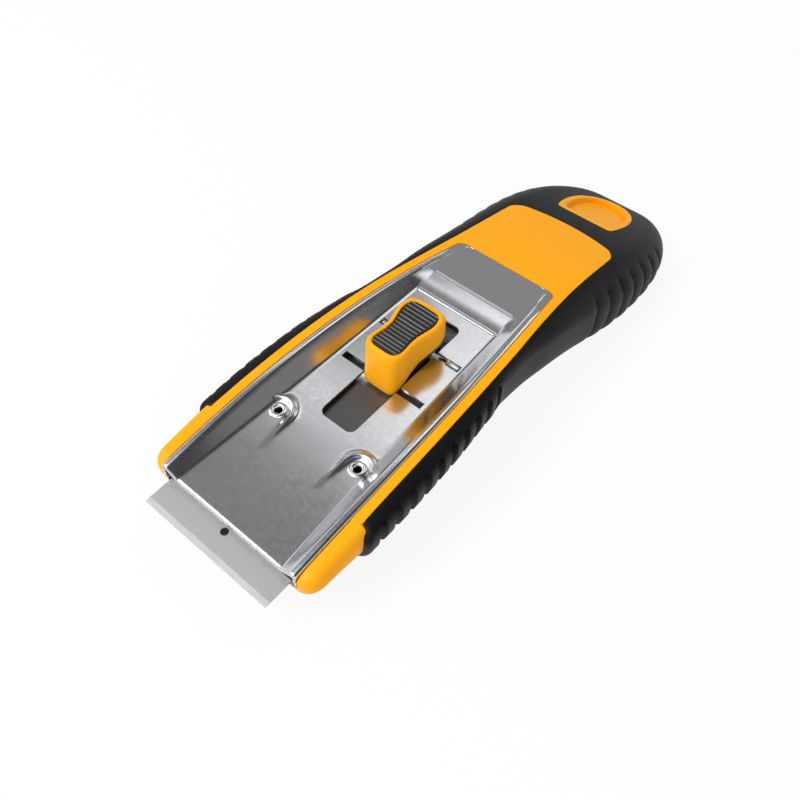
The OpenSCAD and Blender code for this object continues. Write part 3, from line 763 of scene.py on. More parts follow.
@dataclass
class Grip:
    """The rubber: a finned shoulder, a smooth waist and a fluted palm."""

    front: float = 23.0
    front_run: float = 1.7
    front_round: float = 0.55
    front_wall: Point = (0, 1.5, 0)
    front_sink: float = 0.8
    front_side: Pair = (0.0, 1.5)
    front_top: Pair = (3.0, -3.0)
    sweep: float = 2.6
    sweep_down: float = 2.4
    sweep_run: float = 9.0
    mouth: float = 25.7
    wall: Point = (0, 0, -2.4)
    pocket_count: int = 10
    pocket_pitch: float = 5.1
    pocket_first: float = 28.2
    pocket_half: float = 1.15
    pocket_top: float = 2.0
    pocket_foot: float = 19.0
    pocket_corner: float = 0.95
    pocket_depth: float = 4.4
    pocket_fade: float = 0.62
    pocket_wall: Pair = (-0.105, 0.42)
    fin_height: float = 1.58
    fin_end: float = 76.0
    fin_taper: float = 0.5
    fin_thin: Pair = (58.0, 18.0)
    fin_close: Pair = (79.0, -7.0)
    fin_top: Pair = (0.0, 2.4)
    fin_foot: Pair = (17.5, -4.5)
    flute_count: int = 6
    flute_pitch: float = 6.4
    flute_first: float = 119.5
    flute_lead: float = 2.0
    flute_depth: float = 0.95
    flute_round: float = 0.985
    flute_curl: float = 0.012
    flute_mid: float = 14.0
    flute_shift: float = 1.5
    flute_top: Pair = (4.0, 4.0)
    flute_foot: Pair = (27.0, -5.0)
    palm_end: float = 164.0
    tail: float = 178.97
    tail_from: float = 174.0
    tail_crowd: float = 1.8
    cover_from: float = 134.0
    bare_gap: float = 0.02
    bare_depth: float = 1.0
    dee_lap: float = 0.4
    dee_end: float = 0.5
    dee_deep: float = 2.0
    top_points: int = 24
    upper_points: int = 22
    lower_points: int = 40
    bottom_points: int = 8

    def stations(self) -> list[float]:
        """The rows along the handle: close where it is finned or fluted.

        Returns:
            The stations, from front to rear.
        """
        palm = self.flute_first - self.flute_lead
        end = [1 - (1 - u) ** self.tail_crowd for u in spread(0, 1, 30)[1:]]
        made = spread(self.front, self.fin_end, 178) + spread(self.fin_end, palm, 32)[1:]
        made += spread(palm, self.palm_end, 134)[1:]
        return made + [self.palm_end + (self.tail - self.palm_end) * u for u in end]

    def pocket(self, y: float, down: float) -> float:
        """How deep a place lies in a pocket between two fins.

        Args:
            y: The station.
            down: Distance down the side from the bare handle's edge.

        Returns:
            The depth, 0 outside the pockets.
        """
        i = round((y - self.pocket_first) / self.pocket_pitch)
        if i < 0 or i >= self.pocket_count:
            return 0.0
        off = abs(y - self.pocket_first - i * self.pocket_pitch)
        middle, reach = (self.pocket_top + self.pocket_foot) / 2, (self.pocket_foot - self.pocket_top) / 2
        dx = max(off - (self.pocket_half - self.pocket_corner), 0.0)
        dy = max(abs(down - middle) - (reach - self.pocket_corner), 0.0)
        inside = self.pocket_corner - math.hypot(dx, dy)
        shallow = 1 - self.pocket_fade * i / (self.pocket_count - 1)
        return self.pocket_depth * shallow * fade(inside, self.pocket_wall)

    def flute(self, y: float, down: float) -> float:
        """How deep a place lies in the creases between the palm's ribs.

        Args:
            y: The station.
            down: Distance down the side from the bare handle's edge.

        Returns:
            The depth, 0 outside the creases.
        """
        slant = y + self.flute_curl * (down - self.flute_mid) ** 2 - self.flute_shift
        turn = (slant - self.flute_first) / self.flute_pitch
        if turn < -0.5 or turn > self.flute_count + 0.5:
            return 0.0
        across = 2 * (turn % 1.0) - 1
        reach = fade(down, self.flute_top) * fade(down, self.flute_foot)
        return self.flute_depth * reach * (1 - math.sqrt(1 - self.flute_round * across * across))

    def point(self, y: float, turn: float, down: float) -> Point:
        """A point of the rubber's side.

        Args:
            y: The station before the front edge is swept back.
            turn: The place round the section, as in Tool.section.
            down: Distance down the side from the top edge.

        Returns:
            The point.
        """
        x, z = TOOL.section(y, turn)
        out = self.fin_height * (1 - self.fin_taper * part(y, self.fin_thin)) * fade(y, self.fin_close)
        out *= fade(down, self.fin_top) * fade(down, self.fin_foot)
        out -= self.pocket(y, down) + self.flute(y, down)
        drawn_in = fall(1 - part(y, (self.front, self.front_run)))
        round_in = self.front_round * drawn_in
        x += out * (1 - drawn_in) - round_in * fade(down, self.front_side)
        z -= round_in * self.front_sink * fade(down, self.front_top)
        sweep = self.sweep * bell(down, self.sweep_down) * clamp(1 - (y - self.front) / self.sweep_run)
        end = clamp((y - self.tail_from) / (self.tail - self.tail_from))
        room = TOOL.body_end - self.tail_from
        closed = self.tail_from + room * (1 - (1 - end) ** ((self.tail - self.tail_from) / room))
        return x * TOOL.rear_x(y), closed if end else y + sweep, TOOL.rear_z(y, z)

    def rows(self) -> list[list[Point]]:
        """Every row of one half.

        Returns:
            Rows that run from the middle of the top round to the middle of the underside.
        """
        turns = spread(0, 1, self.upper_points) + spread(1, 2, self.lower_points)[1:]
        made = []
        for y in self.stations():
            plain = [Vector((0, *TOOL.section(y, t))) for t in turns]
            down, side = 0.0, []
            for i, t in enumerate(turns):
                if i:
                    down += (plain[i] - plain[i - 1]).length
                side.append(self.point(y, t, down))
            start, foot = side[0], side[-1]
            top = [(start[0] * u, start[1], start[2]) for u in spread(0, 1, self.top_points)[:-1]]
            under = [(foot[0] * u, foot[1], foot[2]) for u in spread(1, 0, self.bottom_points)[1:]]
            made.append(top + side + under)
        return made

    def bare(self, p: Vector) -> bool:
        """Whether a place lies where the handle shows on top."""
        inside = p.y < self.cover_from and p.x < TOOL.edge(p.y) - self.bare_gap
        return inside and p.z > TOOL.top(p.y) - self.bare_depth

    def in_dee(self, p: Vector) -> bool:
        """Whether a place lies under the hanging recess's border."""
        along = self.dee_end < p.y - TOOL.dee_front < TOOL.dee_len - self.dee_end
        return along and p.z > TOOL.skin(p.y) - self.dee_deep and abs(p.x) < TOOL.recess(p.y) - self.dee_lap

    def build(self) -> bpy.types.Object:
        """Build the rubber in one half and mirror it.

        Returns:
            The finished piece.
        """
        bm = row_sheet(self.rows())
        rear = TOOL.body_end - TOUCH
        drop_faces(bm, lambda p: self.bare(p) or self.in_dee(p))
        mirrored(bm)
        turn_in(bm, self.wall, lambda p: self.mouth < p.y < rear)
        turn_in(bm, self.front_wall, lambda p: p.y < self.mouth)
        tail = [e for e in bm.edges if e.is_boundary and e.verts[0].co.y > rear]
        bmesh.ops.contextual_create(bm, geom=tail)
        face_outwards(bm, lambda p: abs(p.x) > 20 and p.y < 130, -UP)
        return Piece("rubber_grip", RUBBER, Body.HANDLE, ["grip"], 50).make(bm)


@dataclass
class Handle:
    """The yellow moulding: nose cheeks, border, rear panel and hanging recess."""

    nose_end: float = 26.4
    nose_steps: tuple[float, ...] = (
        0, 0.15, 0.5, 1.0, 1.7, 2.6, 3.6, 5, 7, 9, 11, 13, 15, 17, 17.5, 17.8, 18.1,
    )
    tip: Pair = (11.7, -4.2)
    tip_round: float = 0.97
    tip_mid: float = 3.5
    tip_in: float = 0.72
    tip_drop: float = 0.45
    chin: float = -1.9
    chin_rise: float = 4.0
    sink: float = 0.5
    sink_span: Pair = (25.0, 0.6)
    bay_floor: float = -1.0
    bay_lip: tuple[Pair, ...] = ((0.0, 1.2), (0.0, 0.35), (0.1, 0.1), (0.35, 0.0))
    seat_gap: float = 0.15
    cut_gap: float = 0.02
    border_from: float = 24.4
    border_least: float = 1.2
    border_lap: float = 0.06
    front_dip: float = 0.05
    front_span: Pair = (25.1, -0.7)
    shelf_end: float = 110.9
    shelf_corner: float = 2.0
    panel_end: float = 143.0
    panel_half: float = 17.9
    panel_bow: float = 3.0
    panel_corner: float = 3.8
    panel_proud: float = 0.03
    panel_wall: Point = (0, 0, -2.8)
    bow_span: Pair = (112.0, 26.0)
    edge_round: float = 0.35
    edge_dip: float = 0.22
    dee_border: float = 1.9
    dee_depth: float = 2.08
    dee_rim: tuple[Pair, ...] = ((0.0, -1.5), (0.0, -0.04), (0.12, 0.06), (0.32, 0.1))
    dee_lip: tuple[Pair, ...] = ((-0.3, 0.1), (-0.1, 0.05), (0.0, -0.1))
    dee_floor: tuple[Pair, ...] = ((0.25, 0.0), (0.6, -0.12), (2.3, -0.14), (5.1, -0.14))
    dee_shares: tuple[float, ...] = (0.0, 0.004, 0.013, 0.03, 0.056)

    def seat(self, y: float) -> float:
        """Half width of the plate's seat, with round corners at its rear."""
        back = part(y, (self.shelf_end - self.shelf_corner, self.shelf_corner))
        return TOOL.rim(min(y, self.shelf_end)) + self.seat_gap - self.shelf_corner * fall(back)

    def outer(self, y: float) -> float:
        """Half width of the bare panel, with round corners at its rear."""
        start = self.panel_end - self.panel_bow - self.panel_corner
        return TOOL.edge(y) + self.border_lap - self.panel_corner * fall(part(y, (start, self.panel_corner)))

    def nose_row(self, y: float) -> list[Point]:
        """One row of the nose.

        Args:
            y: Its station.

        Returns:
            Points from the middle of the bay's floor, over the cheek, to the middle of the chin.
        """
        inner = TOOL.rim_front + self.seat_gap
        round_in = 1 - math.sqrt(1 - self.tip_round * part(y, self.tip) ** 2)
        sunk = self.sink * fade(y, self.sink_span)
        low = min(TOOL.base(y) + self.chin_rise * round_in, self.chin)
        mid = TOOL.top(y) - self.tip_mid
        side = []
        for t in spread(0, 1, 14) + spread(1, 2, 22)[1:]:
            x, z = TOOL.section(y, t)
            x = inner + (x - inner) * (1 - self.tip_in * round_in) if x > inner else x
            upper = mid + (z - mid) * (1 - self.tip_drop * round_in) - sunk
            side.append((x - sunk, y, upper if z > mid else max(z, low)))
        crest, foot = side[0][2], side[-1]
        wall = [(inner * u, y, self.bay_floor) for u in (0, 0.5, 1)]
        wall += [(inner + out, y, crest - drop) for out, drop in self.bay_lip]
        return wall + side + [(foot[0] * u, y, foot[2]) for u in (0.66, 0.33, 0.0)]

    def nose(self) -> Shape:
        """The nose: a tube round the slide's bay, with a rounded tip.

        Returns:
            The shape.
        """
        stations = [TOOL.nose_front + d for d in self.nose_steps] + [self.nose_end]
        bm = row_sheet([self.nose_row(y) for y in stations])
        mirrored(bm)
        for end in (TOOL.nose_front, self.nose_end):
            free = [e for e in bm.edges if e.is_boundary]
            loop = [e for e in free if all(abs(v.co.y - end) < TOUCH for v in e.verts)]
            bmesh.ops.triangle_fill(bm, use_beauty=True, edges=loop, normal=(0, -1, 0))
        bmesh.ops.recalc_face_normals(bm, faces=bm.faces)
        return bm

    def panel(self) -> Shape:
        """The border beside the plate and the panel behind it, as one top sheet with walls.

        Returns:
            The shape.
        """
        start = self.panel_end - self.panel_bow
        ys = spread(self.border_from, self.shelf_end - self.shelf_corner, 60)
        ys += corner_rows(self.shelf_end, self.shelf_corner, 9)
        ys += spread(self.shelf_end, start - self.panel_corner, 16)[1:]
        ys += corner_rows(start, self.panel_corner, 13)
        centre, border = 14, 9

        def place(column: int, row: int) -> Point:
            """Put a point of the sheet in place.

            Args:
                column: Its number from the middle.
                row: Its number from the front.

            Returns:
                The place.
            """
            y = ys[row]
            outer = self.outer(y)
            x = low = min(self.seat(y), outer - self.border_least)
            if column < centre:
                x *= column / (centre - 1)
            else:
                x += (outer - low) * math.sin((column - centre + 1) / border * QUARTER)
            bowed = y + self.panel_bow * (1 - (x / self.panel_half) ** 2) * fade(y, self.bow_span)
            dip = self.edge_dip * part(x, (outer - self.edge_round, self.edge_round)) ** 2
            dip += self.front_dip * part(y, self.front_span)
            return x, bowed, TOOL.skin(bowed) + self.panel_proud - dip

        bm = shaped_grid(centre + border, len(ys), place)
        drop_faces(bm, lambda p: p.y < self.shelf_end and p.x < self.seat(p.y) - self.cut_gap)
        mirrored(bm)
        turn_in(bm, self.panel_wall)
        face_outwards(bm, lambda p: abs(p.x) < 10 and 115 < p.y < 138, UP)
        return bm

    def dee(self) -> Shape:
        """The hanging recess: a D-shaped rim round a blind floor.

        Returns:
            The shape.
        """
        edge, mid = self.dee_border, TOOL.dee_mid
        rings = [*self.dee_rim, *[(edge + out, z) for out, z in self.dee_lip]]
        rings += [(edge + out, z - self.dee_depth) for out, z in self.dee_floor]
        shares = [*self.dee_shares, *spread(0.1, mid - 0.02, 6)]
        shares += [mid + (1 - mid) * math.sin(a) for a in spread(0.06, QUARTER, 22)]
        turn = [(1, u) for u in shares] + [(-1, u) for u in reversed(shares[:-1])]

        def place(column: int, row: int) -> Point:
            """Put a point of the recess in place.

            Args:
                column: Its number round its ring.
                row: Its number of the ring.

            Returns:
                The place.
            """
            inset, z = rings[row]
            side, share = turn[column]
            y = TOOL.dee_front + inset + share * (TOOL.dee_len - 2 * inset)
            return side * TOOL.recess(y, inset), y, TOOL.skin(y) + z

        bm = ring_solid(len(turn), len(rings), place)
        bmesh.ops.recalc_face_normals(bm, faces=bm.faces)
        return bm

    def build(self) -> bpy.types.Object:
        """Build the moulding's three visible parts as one piece."""
        whole = joined([self.nose(), self.panel(), self.dee()])
        return Piece("handle_moulding", YELLOW, Body.HANDLE, ["handle_core"], 40).make(whole)


@dataclass
class Plate:
    """The pressed plate: lip, tray, rolled rims, ramp, shelf, slot and lock notches."""

    lip: float = 8.2
    lip_round: float = 0.8
    lip_foot: float = 0.1
    floor: float = 2.4
    thick: float = 0.9
    sharp: float = 35.0
    floor_front: float = 16.4
    floor_rear: float = 13.2
    floor_end: float = 88.0
    fillet: float = 0.045
    fillet_rise: float = 0.16
    fillet_power: float = 2.2
    wall_shares: Pair = (0.22, 0.9)
    shelf_front: float = 95.3
    shelf_end: float = 110.7
    shelf_sink: float = 0.15
    shelf_corner: float = 1.8
    bend: float = 0.06
    bead: float = 0.2
    bead_w: float = 0.36
    rim_w: float = 2.1
    rim_least: float = 0.6
    rim_sink: float = 0.13
    rim_fade: Pair = (97.0, 10.0)
    rim_roll: tuple[Pair, ...] = (
        (0.05, -0.02), (0.35, 0.22), (0.7, 0.32), (1.05, 0.35), (1.4, 0.31), (1.75, 0.18),
    )
    rim_edge: tuple[Point, ...] = ((0.12, 0.15, 1.0), (0.0, 0.35, 0.0), (0.0, 1.2, 0.0))
    skirt: float = 5.0
    skirt_least: float = 1.5
    slot_half: float = 5.3
    slot: Pair = (42.0, 84.0)
    slot_corner: float = 2.0
    notch_half: float = 12.8
    notch_w: float = 2.0
    notches: Pair = (59.0, 73.4)
    punch_z: float = 2.0
    punch_h: float = 6.0
    eyelet: Pair = (12.8, 36.0)
    eyelet_hole: float = 1.6
    ring_r: float = 3.75
    ring_w: float = 0.85
    ring_h: float = 0.85
    ring_from: float = -0.2
    ring_sweep: Pair = (-28.0, 40.0)
    tail_len: float = 10.5
    tail_out: float = 0.6
    tail_thin: float = 0.3
    tail_power: float = 1.5
    press_y: Pair = (20.0, 44.0)
    press_x: float = 17.5
    eyelet_rows: Pair = (22.3, 43.0)
    ramp_near: float = 1.2
    ramp_far: float = 1.5

    def floor_half(self, y: float) -> float:
        """Half width of the tray's floor."""
        share = part(y, (self.lip, self.floor_end - self.lip))
        return self.floor_front - (self.floor_front - self.floor_rear) * share

    def sheet(self, y: float) -> float:
        """Height of the sheet along the middle, with soft creases at the ramp.

        Args:
            y: The station.

        Returns:
            The height.
        """
        rise = (y - self.floor_end) / (self.shelf_front - self.floor_end)
        if rise < self.bend:
            share = max(0.0, rise + self.bend) ** 2 / (4 * self.bend)
        elif rise > 1 - self.bend:
            share = 1 - max(0.0, 1 + self.bend - rise) ** 2 / (4 * self.bend)
        else:
            share = rise
        return self.floor + (TOOL.top(y) - self.shelf_sink - self.floor) * share

    def crease(self, y: float) -> float:
        """Height of the pressed bead along each end of the ramp."""
        return sum(self.bead * bell(y - at, self.bead_w) for at in (self.floor_end, self.shelf_front))

    def emboss(self, x: float, y: float) -> float:
        """Height of the crescent behind an eyelet and of its tail towards the lip.

        Args:
            x: Distance from the middle.
            y: The station.

        Returns:
            The height over the floor.
        """
        dx, dy = x - self.eyelet[0], y - self.eyelet[1]
        if dy > self.ring_from:
            angle = math.degrees(math.atan2(dy, dx))
            sweep = fade(angle, self.ring_sweep) if angle > -90 else 1.0
            return self.ring_h * sweep * bell(math.hypot(dx, dy) - self.ring_r, self.ring_w)
        if dx >= 0:
            return 0.0
        run = clamp(-dy / self.tail_len)
        line, width = self.ring_r + self.tail_out * run, self.ring_w - self.tail_thin * run
        return self.ring_h * (1 - run) ** self.tail_power * bell(dx + line, width)

    def profile(self, y: float) -> list[Pair]:
        """One half of the section.

        Args:
            y: The station.

        Returns:
            Points from the middle out to the skirt's edge.
        """
        back = part(y, (self.shelf_end - self.shelf_corner, self.shelf_corner))
        rim = TOOL.rim(min(y, self.shelf_end)) - self.shelf_corner * fall(back)
        top, foot = TOOL.top(y), self.sheet(y)
        crest = rim - self.rim_w
        inner = min(self.floor_half(y), crest - self.rim_least)
        fillet, slope, rise = inner * self.fillet, crest - inner, top - foot
        points = [(inner * u, foot + self.crease(y)) for u in spread(0, 1 - self.fillet, 62)]
        for u in spread(0, 1, 6)[1:]:
            x = inner - fillet + (fillet + self.fillet_rise * slope) * u
            points.append((x, foot + rise * self.fillet_rise * u**self.fillet_power))
        points += [(inner + slope * u, foot + rise * u) for u in spread(*self.wall_shares, 10)]
        full = 1 - fade(y, self.rim_fade)
        sink = self.rim_sink
        points += [(crest + out, top - sink + (h + sink) * full) for out, h in self.rim_roll]
        points += [(rim - back, top - drop + share * sink * full) for back, drop, share in self.rim_edge]
        return points + [(rim, min(top - self.skirt_least, max(0.0, top - self.skirt)))]

    def stations(self) -> list[float]:
        """The rows along the plate: close at the eyelets, the ramp and the rear corners.

        Returns:
            The stations, from the lip to the rear.
        """
        first, last = self.eyelet_rows
        made = spread(self.lip, first - 0.3, 24) + spread(first, last, 84)
        made += spread(last + 0.6, self.floor_end - self.ramp_far, 60)
        made += spread(self.floor_end - self.ramp_near, self.shelf_front + self.ramp_near, 60)
        made += spread(self.shelf_front + self.ramp_far, self.shelf_end - self.shelf_corner, 14)
        return made + corner_rows(self.shelf_end, self.shelf_corner, 8)

    def pressed(self, x: float, y: float, z: float) -> float:
        """A height of the sheet, raised where an eyelet's crescent is pressed into it."""
        near = self.press_y[0] < y < self.press_y[1] and x < self.press_x
        return max(z, self.floor + self.emboss(x, y)) if near else z

    def rows(self) -> list[list[Point]]:
        """Every row of one half, with a lip that turns down at the front.

        Returns:
            The rows, from front to rear.
        """
        made = []
        for a in spread(QUARTER, 0, 7)[:-1]:
            y, drop = self.lip - self.lip_round * math.sin(a), self.lip_round * (1 - math.cos(a))
            made.append([(x, y, max(z - drop, self.lip_foot)) for x, z in self.profile(self.lip)])
        for y in self.stations():
            made.append([(x, y, self.pressed(x, y, z)) for x, z in self.profile(y)])
        return made

    def cutters(self) -> list[bpy.types.Object]:
        """The tools that punch the slot, and the notches and rivet holes.

        Returns:
            Two solids, which the build removes after use.
        """
        slot, small = bmesh.new(), bmesh.new()
        low, high = self.slot
        size = (2 * self.slot_half, high - low, self.punch_h)
        add_box(slot, (0, (low + high) / 2, self.punch_z), size)
        upright = [e for e in slot.edges if abs(e.verts[0].co.z - e.verts[1].co.z) > 1]
        soften(slot, upright, self.slot_corner, 6)
        wide = self.notch_half - self.slot_half + 1.5
        for y in self.notches:
            for side in SIDES:
                middle = (side * (self.notch_half - wide / 2), y, self.punch_z)
                add_box(small, middle, (wide, self.notch_w, self.punch_h))
        hole = {"cap_ends": True, "segments": 32, "radius1": self.eyelet_hole, "radius2": self.eyelet_hole}
        for side in SIDES:
            place = Matrix.Translation((side * self.eyelet[0], self.eyelet[1], self.punch_z))
            bmesh.ops.create_cone(small, depth=self.punch_h, matrix=place, **hole)
        for bm in (slot, small):
            bmesh.ops.recalc_face_normals(bm, faces=bm.faces)
        matrix = TOOL.matrix()
        return [placed("slot_punch", slot, matrix), placed("notch_punch", small, matrix)]

    def build(self) -> bpy.types.Object:
        """Press the sheet, give it its thickness and punch it.

        Returns:
            The finished plate.
        """
        bm = row_sheet(self.rows())
        mirrored(bm)
        face_outwards(bm, lambda p: abs(p.x) < 12 and p.y < 80, UP)
        made = Piece("cover_sheet", PLATE_STEEL, Body.HANDLE, ["cover_plate"], self.sharp).make(bm)
        wall = made.modifiers.new("thickness", "SOLIDIFY")
        wall.thickness = self.thick * MM
        wall.offset = -1.0
        tools = self.cutters()
        for tool in tools:
            punch = made.modifiers.new(tool.name, "BOOLEAN")
            punch.operation = "DIFFERENCE"
            punch.solver = "EXACT"
            punch.object = tool
        bpy.context.view_layer.update()
        graph = bpy.context.evaluated_depsgraph_get()
        solid = bpy.data.meshes.new_from_object(made.evaluated_get(graph))
        made.modifiers.clear()
        made.data = solid
        smooth(solid, self.sharp)
        for tool in tools:
            bpy.data.objects.remove(tool)
        LOG.info("cover_sheet punched: %d faces", len(solid.polygons))
        return made


@dataclass
class Eyelets:
    """Two hollow rivets. Their rolled head is a radius and a height over the plate's floor."""

    foot: float = -1.3
    weld: float = 0.001
    head: tuple[Pair, ...] = (
        (0.95, -0.2), (1.02, 0.15), (1.2, 0.42), (1.5, 0.54), (1.9, 0.5), (2.2, 0.32), (2.3, 0.05),
        (2.15, -0.1), (1.5, -0.1),
    )

    def build(self) -> bpy.types.Object:
        """Spin one rolled profile at each place.

        Returns:
            The finished piece.
        """
        rolled = [(r, Plate.floor + h) for r, h in self.head]
        profile = [(self.head[0][0], self.foot), *rolled, (self.head[-1][0], self.foot)]
        round_up = {"axis": (0, 0, 1), "angle": math.tau, "steps": 40, "use_merge": True}
        bm = bmesh.new()
        for side in SIDES:
            centre = Vector((side * Plate.eyelet[0], Plate.eyelet[1], 0))
            ring = [bm.verts.new(centre + Vector((r, 0, z))) for r, z in profile]
            edges = [bm.edges.new((a, b)) for a, b in zip(ring, ring[1:] + ring[:1])]
            bmesh.ops.spin(bm, geom=ring + edges, cent=centre, **round_up)
        bmesh.ops.remove_doubles(bm, verts=bm.verts, dist=self.weld)
        bmesh.ops.recalc_face_normals(bm, faces=bm.faces)
        return Piece("rolled_eyelets", BRIGHT_STEEL, Body.HANDLE, ["plate_eyelets"], 50).make(bm)


@dataclass
class Button:
    """The thumb button: an hourglass body with a raked toe, and its ribbed pad."""

    front: float = 58.0
    length: float = 19.6
    top: float = 13.9
    front_half: float = 5.75
    rear_half: float = 6.35
    waist: float = 0.75
    waist_at: float = 0.45
    dip: float = 0.5
    dip_from: float = 12.3
    roundness: float = 0.42
    toe: float = 1.05
    toe_half: float = 4.7
    toe_len: float = 3.4
    toe_round: float = 0.25
    toe_power: float = 0.8
    rake: float = 1.2
    rake_power: float = 1.2
    heel: float = 0.35
    heel_power: float = 1.15
    flare_top: float = 7.0
    heights: tuple[float, ...] = (1.05, 1.35, 2.2, 3.2, 4.4, 5.6, 6.8, 7.6, 8.6, 9.8, 11.0, 12.0, 12.6)
    crown: tuple[Pair, ...] = (
        (0.06, 13.2), (0.25, 13.62), (0.55, 13.85), (0.85, 13.9), (1.15, 13.86), (1.25, 13.7), (1.3, 12.9),
    )
    stem_middle: Point = (0, 69.2, 5.95)
    stem_size: Point = (5.6, 11.0, 7.4)
    stem_round: float = 0.5
    border: float = 1.25
    pad_corner: float = 2.0
    pad_least: float = 0.4
    pad_spread: float = 0.8
    pad_end: Pair = (0.0, 0.6)
    pad_side: float = 0.45
    pad_sink: float = 0.5
    pad_wall: Point = (0, 0, -0.6)
    ribs: int = 14
    rib_from: float = 0.5
    rib_height: float = 0.6
    rib_least: float = 0.15
    rib_power: float = 0.9
    # Where the painted highlight lies: crests past this share of the wave, clear of the pad's ends and
    # sides.
    highlight_wave: float = 0.88
    highlight_end: float = 0.7
    highlight_side: float = 0.55
    ring_points: int = 96

    def rear(self) -> float:
        """The button's rear end."""
        return self.front + self.length

    def half(self, y: float) -> float:
        """Half width of the hourglass at a station of the top."""
        neck = (self.front + self.waist_at * self.length, self.front_half - self.waist)
        return Curve(((self.front + 2, self.front_half), neck, (self.rear() - 4, self.rear_half))).at(y)

    def dish(self, y: float) -> float:
        """How far the top dips at a station."""
        share = (y - self.front - self.waist_at * self.length) / (self.length / 2)
        return self.dip * max(0.0, math.cos(QUARTER * share)) ** 2

    def ring(self, front: float, rear: float, taper: float, inset: float) -> list[Pair]:
        """A closed plan of the button at one level.

        Args:
            front: Its front end.
            rear: Its rear end.
            taper: Share of the hourglass's width kept.
            inset: How far it lies inside that.

        Returns:
            Points in order, as (x, y).
        """
        made = []
        mid, reach = (front + rear) / 2, (rear - front) / 2 - inset
        for i in range(self.ring_points):
            a = math.tau * i / self.ring_points
            across, along = (math.copysign(abs(u) ** self.roundness, u) for u in (math.cos(a), math.sin(a)))
            y = mid + reach * along
            made.append(((self.half(y) * taper - inset) * across, y))
        return made

    def levels(self) -> list[tuple[float, list[Pair], bool]]:
        """The body's rings from its toe up to its rim.

        Returns:
            Each ring's height, plan and whether it follows the dish.
        """
        made = []
        heel = self.rear() + self.heel
        narrow = self.toe_half / self.front_half
        for z in self.heights:
            share = part(z, (self.toe, self.flare_top - self.toe))
            leaned = part(z, (self.toe, self.top - self.toe - 1)) ** self.rake_power
            front = self.front - self.rake * (1 - leaned)
            back = heel - (heel - self.front - self.toe_len) * (1 - share**self.heel_power)
            taper = narrow + (1 - narrow) * share**self.toe_power
            inset = self.toe_round if z == self.toe else 0.0
            made.append((z, self.ring(front, back, taper, inset), z > self.dip_from))
        for inset, z in self.crown:
            made.append((z, self.ring(self.front, self.rear(), 1.0, inset), True))
        return made

    def body(self) -> Shape:
        """The yellow body and the stem under it.

        Returns:
            The shape, with the stem in the second finish: a dark grey steel that is also painted shade under
            the button.
        """
        levels = self.levels()

        def place(column: int, row: int) -> Point:
            """Put a point of the body in place.

            Args:
                column: Its number round its ring.
                row: Its number of the ring.

            Returns:
                The place.
            """
            z, ring, dished = levels[row]
            x, y = ring[column]
            return x, y, z - (self.dish(y) if dished else 0.0)

        bm = ring_solid(self.ring_points, len(levels), place)
        post = add_box(bm, self.stem_middle, self.stem_size)
        for face in {f for v in post for f in v.link_faces}:
            face.material_index = 1
        soften(bm, {e for v in post for e in v.link_edges}, self.stem_round, 3)
        bmesh.ops.recalc_face_normals(bm, faces=bm.faces)
        return bm

    def pad(self) -> Shape:
        """The ribbed pad: a plan of its own with a wave of ribs along it.

        Returns:
            The shape, with a painted highlight on the ribs' crests, which take the second, pale finish.
        """
        low, high = self.front + self.border, self.rear() - self.border
        columns, rows = 25, 14 * self.ribs + 1
        pitch = (high - low - 2 * self.rib_from) / self.ribs

        def wave(y: float) -> float:
            """Height of the ribs' wave at a station."""
            return 0.5 - 0.5 * math.cos(math.tau * (y - low - self.rib_from) / pitch)

        def place(column: int, row: int) -> Point:
            """Put a point of the pad in place.

            Args:
                column: Its number from side to side.
                row: Its number from the front.

            Returns:
                The place.
            """
            y = low + (high - low) * row / (rows - 1)
            end = min(y - low, high - y)
            cut = self.pad_corner * fall(1 - clamp(end / self.pad_corner))
            wide = max(self.pad_least, self.half(y) - self.border - cut)
            u = 2 * column / (columns - 1) - 1
            x = wide * math.copysign(abs(u) ** self.pad_spread, u)
            inside = fade(end, self.pad_end) * fade(abs(x), (wide, -self.pad_side))
            rib = self.rib_least + (1 - self.rib_least) * wave(y) ** self.rib_power
            return x, y, self.top - self.dish(y) - self.pad_sink + self.rib_height * inside * rib

        bm = shaped_grid(columns, rows, place)
        # Painted highlight: faces on the ribs' crests take the pale second finish.
        for face in bm.faces:
            p = face.calc_center_median()
            along = min(p.y - low, high - p.y) > self.highlight_end
            across = abs(p.x) < self.half(p.y) - self.border - self.highlight_side
            face.material_index = int(wave(p.y) > self.highlight_wave and along and across)
        turn_in(bm, self.pad_wall)
        face_outwards(bm, lambda p: True, UP)
        return bm

    def build(self) -> None:
        """Build the body and the pad."""
        body = Piece("button_body", BUTTON_YELLOW, Body.BUTTON, ["thumb_button"], 50, POST_STEEL_PAINTED_SHADE)
        pad = Piece("ribbed_pad", PAD_RUBBER, Body.BUTTON, ["button_pad"], 60, PAD_CREST_HIGHLIGHT)
        body.make(self.body())
        pad.make(self.pad())


